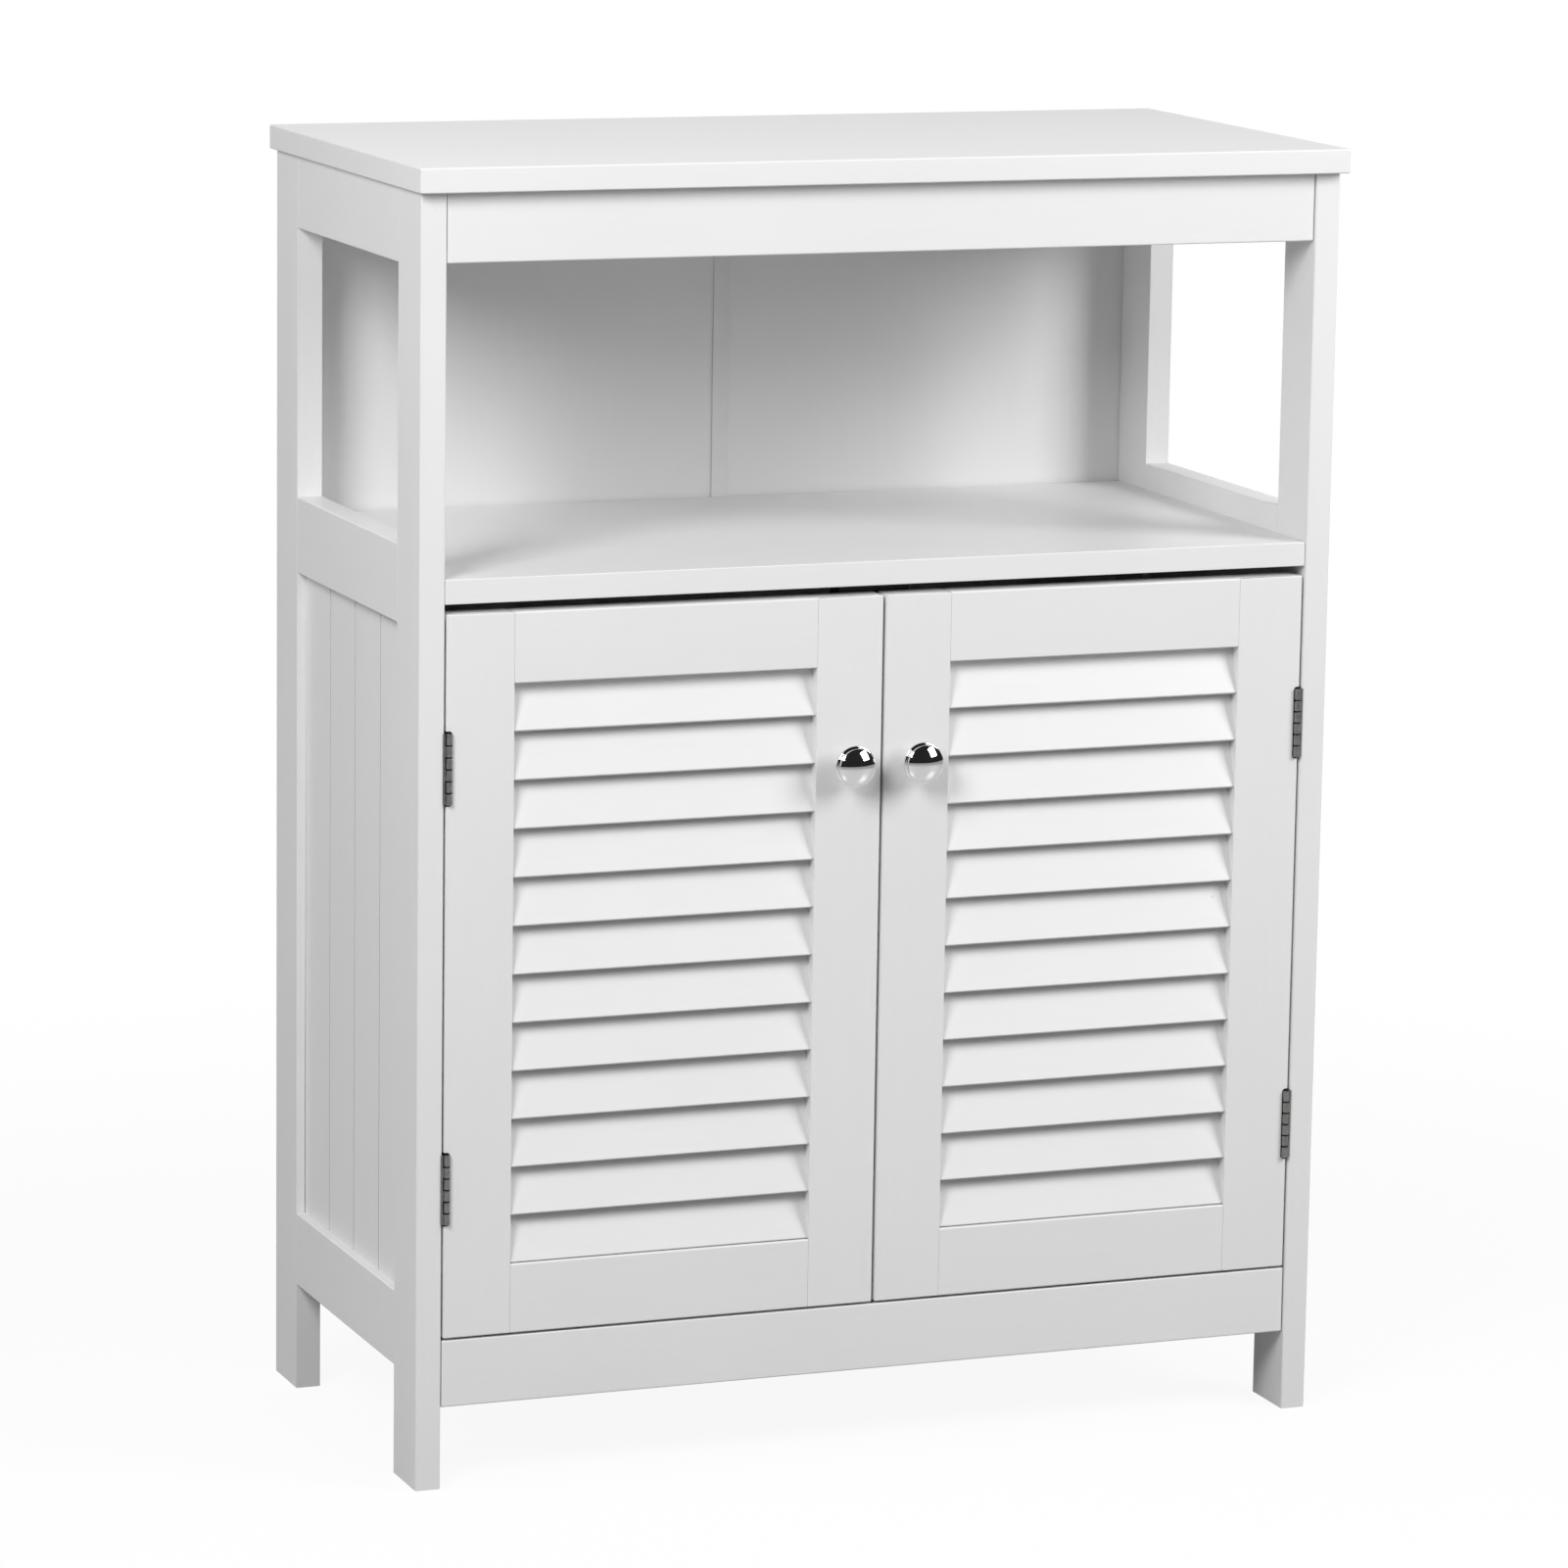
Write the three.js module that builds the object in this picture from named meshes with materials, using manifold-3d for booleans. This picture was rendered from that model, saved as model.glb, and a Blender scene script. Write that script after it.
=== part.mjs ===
// A white freestanding cabinet with an open compartment over a cupboard with two louvred doors.
// Sizes are in millimetres. X runs to the right, Y to the back and Z up. The origin is on the floor,
// under the middle of the whole cabinet, with its knobs counted in the depth.
import * as THREE from "three";
import { mergeVertices } from "three/addons/utils/BufferGeometryUtils.js";
import Module from "manifold-3d";

const wasm = await Module();
wasm.setup();

// Overall size: the top panel is the widest and deepest board
const overallWidth = 600;
const overallDepth = 300;
const overallHeight = 800;
const topThickness = 15;
const topSideOverhang = 3;
const topFrontOverhang = 8;
const topBackOverhang = 6;

// Fits and finish
const arris = 1; // the flat that eases an exposed edge
const jointGap = 0.1; // between two faces that are glued, screwed or resting
const cutOverrun = 2; // how far a cutter runs past what it cuts

// Side frames: a front leg, a back leg and three rails in one plane
const legThickness = 16;
const frontLegDepth = 42;
const backLegDepth = 44;
const sideTopRailHeight = 45;
const sideWindowHeight = 167;
const sideMiddleRailHeight = 48;
const sideBottomRailHeight = 47;
const sideBottomRailClearance = 68; // from the floor to its underside

// Grooved side panels, held in a housing all round
const sidePanelThickness = 5;
const sidePanelRecess = 6; // from the outer face of the legs
const sidePanelHousing = 6; // depth of the housing in legs and rails
const veeCount = 3;
const veePitch = 50;
const veeWidth = 4;
const veeDepth = 1.6;

// Front rails and fixed boards
const frontRailThickness = 16;
const frontRailSetback = 1.5; // behind the front of the legs
const frontTopRailHeight = 42;
const frontBottomRailHeight = 41.5;
const frontBottomRailClearance = 50.5; // from the floor to its underside
const shelfThickness = 15;
const middleShelfDrop = 17; // from the lower edge of the side windows to its upper face
const middleShelfSetback = 1;
const shelfBackClearance = 1.5; // from a board's back edge to the back of the legs

// Back: two sheets joined by a strip with an H section
const backSheetThickness = 3;
const backSheetInset = 4; // from the outer face of the legs
const stripWidth = 11;
const stripFlange = 1;
const stripWeb = 2;

// Doors
const doorThickness = 16;
const doorSetback = 0.5; // behind the front of the legs
const doorSideGap = 1.5;
const doorMeetingGap = 2;
const doorTopGap = 6;
const doorBottomGap = 1.5;
const stileWidth = 42.5;
const doorRailHeight = 43;

// Louvre slats
const slatCount = 12;
const slatWidth = 32;
const slatThickness = 4.5;
const slatTilt = THREE.MathUtils.degToRad(17); // from upright, top edge towards the back
const slatRecess = 1.2; // from the face of the door to the front edge of a slat
const slatRise = 0.8; // from the foot of its pitch to the front edge of a slat
const slatHousing = 6; // depth of a slat's slot in a stile
const battenThickness = 2; // strip at the slots' bottoms that ties the slats' ends
const battenDepth = 6;

// Butt hinges
const hingeHeight = 43;
const hingeInset = 92.5; // from an end of the door to the middle of a hinge
const knuckleCount = 6;
const knuckleRadius = 2;
const knuckleGap = 0.3;
const knuckleClearance = 1; // from a knuckle to the inner face of the leg
const pinStandOff = 1; // from the face of the door to the pin's axis
const pinRadius = 0.9;
const pinClearance = 0.2;
const pinHeadRadius = 1.6;
const pinHeadHeight = 0.5;
const leafThickness = 1.2;
const leafGap = 0.4; // between the closed leaves
const leafDepth = 14; // from the pin's axis to a leaf's back edge
const leafRelief = 0.4; // between a leaf and the other leaf's knuckles
const notchWidth = 3.8; // of the door stile's notch for the knuckles
const notchDepth = 4;
const notchEndGap = 1.2;
const notchCornerRadius = 2;

// Knobs and their screws
const knobBelowDoorTop = 102.5;
const knobRadius = 12.9; // of the bead round the head
const knobProjection = 19.5;
const knobBaseRadius = 7;
const knobBaseHeight = 2;
const knobNeckRadius = 5;
const knobNeckEnd = 6; // from the door to where the neck opens into the head
const knobBeadHeight = 11.3; // from the door to the middle of the bead
const knobBeadThickness = 2.6;
const knobDomeHeight = 4; // from the dome's edge to its top
const screwRadius = 2;
const screwClearance = 0.2;
const screwReach = 7; // of the screw into the knob
const screwHeadRadius = 4.2;
const screwHeadHeight = 2.4;

// Magnetic catch under the middle shelf, and its two steel plates on the doors
const catchWidth = 46;
const catchDepth = 15;
const catchHeight = 18;
const catchPoleGap = 0.4; // from a pole to its plate
const magnetX = 13; // from the middle of the cabinet to the middle of a magnet
const magnetWidth = 10;
const magnetDepth = 9;
const poleReach = 1.2; // of the two poles from the housing and the magnet between them
const poleThickness = 1.6;
const polePitch = 5; // between the two poles of one magnet
const strikeWidth = 14;
const strikeHeight = 10;
const strikeThickness = 1.2;
const strikeBelowDoorTop = 6; // from the top of the door to the middle of a plate

// Loose shelf in the cupboard, on four pins
const looseShelfHeight = 315; // from the floor to its upper face
const looseShelfFrontGap = 7; // from the backs of the doors
const looseShelfEndGap = 1.5;
const shelfPinRadius = 2.5;
const shelfPinReach = 9; // under the shelf
const shelfPinGrip = 8; // in the leg
const shelfPinClearance = 0.15;
const shelfPinCollarRadius = 3.6;
const shelfPinCollar = 1;
const shelfPinHoleCount = 3; // in each leg, one of them in use
const shelfPinHolePitch = 32;
const shelfPinInset = 14; // from a leg's inner edge to its line of holes

// Numbers of flats
const roundSegments = 16;
const knobSegments = 32;
const knobBeadSteps = 6;
const knobDomeSteps = 6;
const noseSegments = 4;

// Planes that the boards share, for the right-hand half: X outwards from the middle
const legOuterX = overallWidth / 2 - topSideOverhang;
const legInnerX = legOuterX - legThickness;
const knobOvershoot = knobProjection - doorSetback - topFrontOverhang; // past the top's front edge
const topBackY = (overallDepth + knobOvershoot) / 2;
const topFrontY = topBackY - overallDepth;
const frameFrontY = topFrontY + topFrontOverhang;
const frameBackY = topBackY - topBackOverhang;
const frontLegBackY = frameFrontY + frontLegDepth;
const backLegFrontY = frameBackY - backLegDepth;
const boardBackY = frameBackY - shelfBackClearance;
const topUndersideZ = overallHeight - topThickness;
const legTopZ = topUndersideZ - jointGap;
const sideWindowTopZ = topUndersideZ - sideTopRailHeight;
const sideWindowBottomZ = sideWindowTopZ - sideWindowHeight;
const sidePanelTopZ = sideWindowBottomZ - sideMiddleRailHeight;
const sidePanelBottomZ = sideBottomRailClearance + sideBottomRailHeight;
const frontRailFrontY = frameFrontY + frontRailSetback;
const cupboardFloorZ = frontBottomRailClearance + frontBottomRailHeight;
const middleShelfTopZ = sideWindowBottomZ - middleShelfDrop;
const middleShelfUndersideZ = middleShelfTopZ - shelfThickness;
const boardHalfWidth = legInnerX - jointGap;
const doorFaceY = frameFrontY + doorSetback;
const doorBackY = doorFaceY + doorThickness;
const doorOuterX = legInnerX - doorSideGap;
const doorInnerX = doorMeetingGap / 2;
const doorBottomZ = cupboardFloorZ + doorBottomGap;
const doorTopZ = middleShelfUndersideZ - doorTopGap;
const doorHeight = doorTopZ - doorBottomZ;
const openingOuterX = doorOuterX - stileWidth;
const openingInnerX = doorInnerX + stileWidth;
const openingWidth = openingOuterX - openingInnerX;
const openingHeight = doorHeight - 2 * doorRailHeight;
const openingBottomZ = doorBottomZ + doorRailHeight;
const pinX = legInnerX - knuckleClearance - knuckleRadius;
const pinY = doorFaceY - pinStandOff;
const hingeGapX = (doorOuterX + legInnerX) / 2;
const hingeBottoms = [doorBottomZ + hingeInset - hingeHeight / 2, doorTopZ - hingeInset - hingeHeight / 2];
const knobX = doorInnerX + stileWidth / 2;
const knobZ = doorTopZ - knobBelowDoorTop;
const looseShelfUndersideZ = looseShelfHeight - shelfThickness;
const looseShelfFrontY = doorBackY + looseShelfFrontGap;
const shelfPinZ = looseShelfUndersideZ - jointGap - shelfPinRadius;

// Materials
function paintedBoard() {
  return new THREE.MeshStandardMaterial({ color: 0xf1f1ef, roughness: 0.42, metalness: 0 });
}

function chrome() {
  return new THREE.MeshStandardMaterial({ color: 0xd9dbde, roughness: 0.06, metalness: 1 });
}

function hingeSteel() {
  return new THREE.MeshStandardMaterial({ color: 0x6d6c6a, roughness: 0.38, metalness: 1 });
}

function zincSteel() {
  return new THREE.MeshStandardMaterial({ color: 0xb4b6b8, roughness: 0.35, metalness: 1 });
}

function whitePlastic() {
  return new THREE.MeshStandardMaterial({ color: 0xececea, roughness: 0.35, metalness: 0 });
}

function darkPlastic() {
  return new THREE.MeshStandardMaterial({ color: 0x2b2a29, roughness: 0.45, metalness: 0 });
}

// Solids
function solidOf(geometry) {
  const bare = geometry.clone();
  bare.deleteAttribute("normal");
  bare.deleteAttribute("uv");
  const merged = mergeVertices(bare);
  return new wasm.Manifold(
    new wasm.Mesh({
      numProp: 3,
      vertProperties: new Float32Array(merged.attributes.position.array),
      triVerts: new Uint32Array(merged.index.array),
    }),
  );
}

function geometryOf(solid) {
  const mesh = solid.getMesh();
  const geometry = new THREE.BufferGeometry();
  geometry.setAttribute("position", new THREE.BufferAttribute(mesh.vertProperties, 3));
  geometry.setIndex(new THREE.BufferAttribute(mesh.triVerts, 1));
  const flat = geometry.toNonIndexed();
  flat.computeVertexNormals();
  return flat;
}

function joined(solids) {
  return solids.reduce((sum, solid) => sum.add(solid));
}

// Stands an extrusion or a lathe, made along Z or Y, along another axis by a cyclic turn.
function alongAxis(geometry, axis) {
  const x = new THREE.Vector3(1, 0, 0);
  const y = new THREE.Vector3(0, 1, 0);
  const z = new THREE.Vector3(0, 0, 1);
  const bases = { x: [y, z, x], y: [z, x, y], z: [x, y, z] };
  return geometry.applyMatrix4(new THREE.Matrix4().makeBasis(...bases[axis]));
}

// An outline pushed along an axis, centred on its own length. The outline's two directions are the
// axes that follow in the order X, Y, Z, X: Y and Z for a push along X.
function prism(outline, length, axis) {
  const pushed = new THREE.ExtrudeGeometry(outline, {
    depth: length,
    bevelEnabled: false,
    curveSegments: noseSegments,
  });
  pushed.translate(0, 0, -length / 2);
  return alongAxis(pushed, axis);
}

// A box given by its low and high corners.
function block(low, high) {
  const size = high.map((value, i) => value - low[i]);
  const box = new THREE.BoxGeometry(...size);
  return box.translate(...high.map((value, i) => (value + low[i]) / 2));
}

// A round bar along an axis, from one place to another on it, about a centre line.
function bar(radius, axis, from, to, centre) {
  const cylinder = new THREE.CylinderGeometry(radius, radius, to - from, roundSegments);
  cylinder.translate(0, (from + to) / 2, 0);
  if (axis === "x") cylinder.rotateZ(-Math.PI / 2);
  if (axis === "z") cylinder.rotateX(Math.PI / 2);
  return cylinder.translate(...centre);
}

// The section of a board. Each corner in turn, from low-low anticlockwise, is eased or left square.
function boardSection(width, height, eased) {
  const corners = [
    [-1, -1],
    [1, -1],
    [1, 1],
    [-1, 1],
  ];
  const outline = new THREE.Shape();
  const points = corners.flatMap(([u, v], i) => {
    const corner = [(u * width) / 2, (v * height) / 2];
    if (!eased[i]) return [corner];
    const alongU = [corner[0] - u * arris, corner[1]];
    const alongV = [corner[0], corner[1] - v * arris];
    return u * v > 0 ? [alongV, alongU] : [alongU, alongV];
  });
  outline.setFromPoints(points.map(([u, v]) => new THREE.Vector2(u, v)));
  return outline;
}

const allEased = [true, true, true, true];
const noneEased = [false, false, false, false];

// A board between two corners, with its grain along an axis and its long edges eased where named.
function board(low, high, grain, eased = allEased) {
  const size = high.map((value, i) => value - low[i]);
  const across = { x: [1, 2, 0], y: [2, 0, 1], z: [0, 1, 2] }[grain];
  const section = boardSection(size[across[0]], size[across[1]], eased);
  const made = prism(section, size[across[2]], grain);
  return made.translate(...high.map((value, i) => (value + low[i]) / 2));
}

// A board with all twelve edges eased.
function easedPanel(low, high) {
  const [width, depth, height] = high.map((value, i) => value - low[i]);
  const innerCorner = arris * (Math.SQRT2 - 1);
  const u = width / 2 - arris;
  const v = depth / 2 - arris;
  const outline = new THREE.Shape([
    new THREE.Vector2(u, v - innerCorner),
    new THREE.Vector2(u - innerCorner, v),
    new THREE.Vector2(innerCorner - u, v),
    new THREE.Vector2(-u, v - innerCorner),
    new THREE.Vector2(-u, innerCorner - v),
    new THREE.Vector2(innerCorner - u, -v),
    new THREE.Vector2(u - innerCorner, -v),
    new THREE.Vector2(u, innerCorner - v),
  ]);
  const pushed = new THREE.ExtrudeGeometry(outline, {
    depth: height - 2 * arris,
    bevelThickness: arris,
    bevelSize: arris,
    bevelSegments: 1,
  });
  pushed.translate(0, 0, arris - height / 2);
  return pushed.translate(...high.map((value, i) => (value + low[i]) / 2));
}

// A closed turned piece: its outline is given as radius and height, from the axis back to the axis.
function turned(points, segments) {
  return new THREE.LatheGeometry(
    points.map(([radius, height]) => new THREE.Vector2(radius, height)),
    segments,
  );
}

// Adds one named piece to a group. Its geometry is centred, and its place is in its position.
function addPiece(group, name, geometry, material) {
  geometry.computeBoundingBox();
  const place = geometry.boundingBox.getCenter(new THREE.Vector3());
  geometry.translate(-place.x, -place.y, -place.z);
  const mesh = new THREE.Mesh(geometry, material);
  mesh.name = name;
  mesh.position.copy(place).sub(group.position);
  group.add(mesh);
}

// Boards that run the full width
function addTop(group) {
  const top = easedPanel(
    [-overallWidth / 2, topFrontY, topUndersideZ],
    [overallWidth / 2, topBackY, overallHeight],
  );
  addPiece(group, "top_panel", top, paintedBoard());
}

function addFrontRails(group) {
  const backY = frontRailFrontY + frontRailThickness;
  const top = board(
    [-boardHalfWidth, frontRailFrontY, topUndersideZ - frontTopRailHeight],
    [boardHalfWidth, backY, topUndersideZ - jointGap],
    "x",
  );
  const bottom = board(
    [-boardHalfWidth, frontRailFrontY, frontBottomRailClearance],
    [boardHalfWidth, backY, cupboardFloorZ],
    "x",
  );
  addPiece(group, "front_top_rail", top, paintedBoard());
  addPiece(group, "front_bottom_rail", bottom, paintedBoard());
}

function addFixedBoards(group) {
  const shelf = board(
    [-boardHalfWidth, frameFrontY + middleShelfSetback, middleShelfUndersideZ],
    [boardHalfWidth, boardBackY, middleShelfTopZ],
    "x",
  );
  const floor = board(
    [-boardHalfWidth, frontRailFrontY + frontRailThickness + jointGap, cupboardFloorZ - shelfThickness],
    [boardHalfWidth, boardBackY, cupboardFloorZ],
    "x",
    noneEased,
  );
  addPiece(group, "middle_shelf", shelf, paintedBoard());
  addPiece(group, "bottom_panel", floor, paintedBoard());
}

function addLooseShelf(group) {
  const halfWidth = legInnerX - looseShelfEndGap;
  const shelf = board(
    [-halfWidth, looseShelfFrontY, looseShelfUndersideZ],
    [halfWidth, boardBackY, looseShelfHeight],
    "x",
  );
  addPiece(group, "adjustable_shelf", shelf, paintedBoard());
}

// The strip between the two back sheets, with one flange in front of them and one behind.
function addJoiningStrip(group) {
  const backFlangeY = frameBackY + backSheetThickness + 2 * jointGap;
  const low = cupboardFloorZ - shelfThickness;
  const high = topUndersideZ - jointGap;
  const strip = joined([
    solidOf(block([-stripWidth / 2, frameBackY - stripFlange, low], [stripWidth / 2, frameBackY, high])),
    solidOf(
      block([-stripWidth / 2, backFlangeY, low], [stripWidth / 2, backFlangeY + stripFlange, high]),
    ),
    solidOf(
      block(
        [-stripWeb / 2, frameBackY - stripFlange, low],
        [stripWeb / 2, backFlangeY + stripFlange, high],
      ),
    ),
  ]);
  addPiece(group, "back_joining_strip", geometryOf(strip), whitePlastic());
}

// A magnet between two steel poles that stand out in front of it, grown on all sides for its pocket.
function magnetSolid(frontY, middleZ, grow) {
  const spread = polePitch / 2 + poleThickness / 2;
  const low = [magnetX - magnetWidth / 2 - grow, frontY - poleReach, middleZ - spread - grow];
  const high = [magnetX + magnetWidth / 2 + grow, frontY + magnetDepth + grow, middleZ + spread + grow];
  const slot = block(
    [low[0] - cutOverrun, frontY - poleReach - cutOverrun, middleZ - spread + poleThickness],
    [high[0] + cutOverrun, frontY, middleZ + spread - poleThickness],
  );
  const whole = solidOf(block(low, high));
  return grow > 0 ? whole : whole.subtract(solidOf(slot));
}

const catchFrontY = doorBackY + jointGap + strikeThickness + catchPoleGap + poleReach;
const strikeMiddleZ = doorTopZ - strikeBelowDoorTop;

function addCatchHousing(group) {
  const topZ = middleShelfUndersideZ - jointGap;
  const housing = solidOf(
    block(
      [-catchWidth / 2, catchFrontY, topZ - catchHeight],
      [catchWidth / 2, catchFrontY + catchDepth, topZ],
    ),
  );
  const pocket = magnetSolid(catchFrontY, strikeMiddleZ, jointGap);
  const otherPocket = pocket.mirror([1, 0, 0]);
  const made = housing.subtract(pocket).subtract(otherPocket);
  addPiece(group, "catch_housing", geometryOf(made), darkPlastic());
}

function addMagnet(group, side) {
  const magnet = magnetSolid(catchFrontY, strikeMiddleZ, 0);
  addPiece(group, side + "_catch_magnet", geometryOf(magnet), zincSteel());
}

function addStrikePlate(group, side) {
  const low = [magnetX - strikeWidth / 2, doorBackY + jointGap, strikeMiddleZ - strikeHeight / 2];
  const high = [magnetX + strikeWidth / 2, low[1] + strikeThickness, strikeMiddleZ + strikeHeight / 2];
  addPiece(group, side + "_strike_plate", block(low, high), zincSteel());
}

// Side frame, for the right-hand half
const sidePanelOuterX = legOuterX - sidePanelRecess;
const sidePanelInnerX = sidePanelOuterX - sidePanelThickness;

// The grooved panel's own box, or the housing that takes it when it is grown by the joint gap.
function sidePanelBlock(grow) {
  const reach = sidePanelHousing - jointGap + grow;
  return block(
    [sidePanelInnerX - grow, frontLegBackY - reach, sidePanelBottomZ - reach],
    [sidePanelOuterX + grow, backLegFrontY + reach, sidePanelTopZ + reach],
  );
}

function veeGroove(middleY) {
  const mouth = (veeWidth / 2) * (1 + cutOverrun / veeDepth);
  const outline = new THREE.Shape([
    new THREE.Vector2(sidePanelOuterX - veeDepth, middleY),
    new THREE.Vector2(sidePanelOuterX + cutOverrun, middleY - mouth),
    new THREE.Vector2(sidePanelOuterX + cutOverrun, middleY + mouth),
  ]);
  const middleZ = (sidePanelBottomZ + sidePanelTopZ) / 2;
  const length = sidePanelTopZ - sidePanelBottomZ + 2 * (sidePanelHousing + cutOverrun);
  return prism(outline, length, "z").translate(0, 0, middleZ);
}

function addGroovedPanel(group, side) {
  const middleY = (frontLegBackY + backLegFrontY) / 2;
  let panel = solidOf(sidePanelBlock(0));
  for (let i = 0; i < veeCount; i++) {
    const y = middleY + (i - (veeCount - 1) / 2) * veePitch;
    panel = panel.subtract(solidOf(veeGroove(y)));
  }
  addPiece(group, side + "_grooved_panel", geometryOf(panel), paintedBoard());
}

function addSideRails(group, side) {
  const housing = solidOf(sidePanelBlock(jointGap));
  const lowEdgeEased = [true, false, false, true];
  const rails = [
    ["top", sideWindowTopZ, legTopZ, lowEdgeEased],
    ["middle", sidePanelTopZ, sideWindowBottomZ, allEased],
    ["bottom", sideBottomRailClearance, sidePanelBottomZ, allEased],
  ];
  for (const [place, lowZ, highZ, eased] of rails) {
    const rail = board(
      [legInnerX, frontLegBackY + jointGap, lowZ],
      [legOuterX, backLegFrontY - jointGap, highZ],
      "y",
      eased,
    );
    const made = solidOf(rail).subtract(housing);
    addPiece(group, side + "_side_" + place + "_rail", geometryOf(made), paintedBoard());
  }
}

function shelfPinHoles(y) {
  const holes = [];
  for (let i = 0; i < shelfPinHoleCount; i++) {
    const z = shelfPinZ + (i - (shelfPinHoleCount - 1) / 2) * shelfPinHolePitch;
    const radius = shelfPinRadius + shelfPinClearance;
    holes.push(
      solidOf(
        bar(radius, "x", legInnerX - cutOverrun, legInnerX + shelfPinGrip + shelfPinClearance, [0, y, z]),
      ),
    );
  }
  return joined(holes);
}

const frontPinY = frontLegBackY - shelfPinInset;
const backPinY = backLegFrontY + shelfPinInset;

// The mortise in the front leg for a hinge leaf, open to the front.
function legMortise(bottomZ) {
  return solidOf(
    block(
      [legInnerX - cutOverrun, frameFrontY - cutOverrun, bottomZ - jointGap],
      [
        hingeGapX + leafGap / 2 + leafThickness + jointGap,
        pinY + leafDepth + jointGap,
        bottomZ + hingeHeight + jointGap,
      ],
    ),
  );
}

function addLegs(group, side) {
  const housing = solidOf(sidePanelBlock(jointGap));
  const frontEased = [true, true, false, false];
  const backEased = [false, false, true, true];
  let front = solidOf(
    board([legInnerX, frameFrontY, 0], [legOuterX, frontLegBackY, legTopZ], "z", frontEased),
  );
  front = front.subtract(housing).subtract(shelfPinHoles(frontPinY));
  for (const bottomZ of hingeBottoms) front = front.subtract(legMortise(bottomZ));
  let back = solidOf(
    board([legInnerX, backLegFrontY, 0], [legOuterX, frameBackY, legTopZ], "z", backEased),
  );
  back = back.subtract(housing).subtract(shelfPinHoles(backPinY));
  addPiece(group, side + "_front_leg", geometryOf(front), paintedBoard());
  addPiece(group, side + "_back_leg", geometryOf(back), paintedBoard());
}

function addBackSheet(group, side) {
  const sheet = block(
    [stripWeb / 2 + jointGap, frameBackY + jointGap, cupboardFloorZ - shelfThickness],
    [legOuterX - backSheetInset, frameBackY + jointGap + backSheetThickness, topUndersideZ - jointGap],
  );
  addPiece(group, "back_panel_" + side, sheet, paintedBoard());
}

// A shelf pin: a peg in the leg, a collar against it and a peg under the shelf.
function addShelfPin(group, name, y) {
  const pin = turned(
    [
      [0, -shelfPinReach],
      [shelfPinRadius, -shelfPinReach],
      [shelfPinRadius, -jointGap - shelfPinCollar],
      [shelfPinCollarRadius, -jointGap - shelfPinCollar],
      [shelfPinCollarRadius, -jointGap],
      [shelfPinRadius, -jointGap],
      [shelfPinRadius, shelfPinGrip],
      [0, shelfPinGrip],
    ],
    roundSegments,
  );
  pin.rotateZ(-Math.PI / 2);
  addPiece(group, name, pin.translate(legInnerX, y, shelfPinZ), zincSteel());
}

// Doors, for the right-hand half
const openingMiddleX = (openingInnerX + openingOuterX) / 2;
const openingTopZ = openingBottomZ + openingHeight;
const slatFrontY = doorFaceY + slatRecess;
const slatPitch = openingHeight / slatCount;

// A slat's section before it is tilted: across its thickness, and along its width from the rounded
// front edge. It is grown on all sides for the slots in the stiles.
function slatOutline(grow) {
  const radius = slatThickness / 2 + grow;
  const middle = slatThickness / 2;
  const outline = new THREE.Shape();
  outline.moveTo(slatThickness + grow, slatWidth + grow);
  outline.lineTo(-grow, slatWidth + grow);
  outline.lineTo(-grow, middle);
  outline.absarc(middle, middle, radius, Math.PI, 2 * Math.PI, false);
  return outline;
}

// All the slats of a door, with the two hidden battens that tie their ends.
function louvrePack(grow) {
  const endX = slatHousing - jointGap + grow;
  const length = openingWidth + 2 * endX;
  const packDepth = slatWidth * Math.sin(slatTilt) + slatThickness * Math.cos(slatTilt);
  const battenY = slatFrontY + packDepth / 2;
  const solids = [];
  for (let i = 0; i < slatCount; i++) {
    const slat = prism(slatOutline(grow), length, "x").rotateX(-slatTilt);
    slat.translate(openingMiddleX, slatFrontY, openingBottomZ + i * slatPitch + slatRise);
    solids.push(solidOf(slat));
  }
  const lowZ = openingBottomZ + jointGap - grow;
  const highZ = openingTopZ - jointGap + grow;
  for (const end of [-1, 1]) {
    const outer = openingMiddleX + (end * length) / 2;
    const inner = outer - end * (battenThickness + 2 * grow);
    solids.push(
      solidOf(
        block(
          [Math.min(inner, outer), battenY - battenDepth / 2 - grow, lowZ],
          [Math.max(inner, outer), battenY + battenDepth / 2 + grow, highZ],
        ),
      ),
    );
  }
  const room = block(
    [openingInnerX - stileWidth, doorFaceY, lowZ],
    [openingOuterX + stileWidth, doorBackY, highZ],
  );
  return joined(solids).intersect(solidOf(room));
}

// The notch in the front corner of a hinge stile, with the knuckles in it and two round corners.
function hingeNotch(bottomZ) {
  const lowZ = bottomZ - notchEndGap;
  const highZ = bottomZ + hingeHeight + notchEndGap;
  const innerX = doorOuterX - notchWidth;
  const outerX = doorOuterX + cutOverrun;
  const radius = notchCornerRadius;
  const outline = new THREE.Shape();
  outline.moveTo(lowZ, outerX);
  outline.lineTo(lowZ, innerX + radius);
  outline.absarc(lowZ + radius, innerX + radius, radius, Math.PI, 1.5 * Math.PI, false);
  outline.absarc(highZ - radius, innerX + radius, radius, 1.5 * Math.PI, 2 * Math.PI, false);
  outline.lineTo(highZ, outerX);
  const cutter = prism(outline, notchDepth + cutOverrun, "y");
  return solidOf(cutter.translate(0, doorFaceY + (notchDepth - cutOverrun) / 2, 0));
}

function stileMortise(bottomZ) {
  return solidOf(
    block(
      [
        hingeGapX - leafGap / 2 - leafThickness - jointGap,
        doorFaceY - cutOverrun,
        bottomZ - jointGap,
      ],
      [
        doorOuterX + cutOverrun,
        pinY + leafDepth + jointGap,
        bottomZ + hingeHeight + jointGap,
      ],
    ),
  );
}

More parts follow.
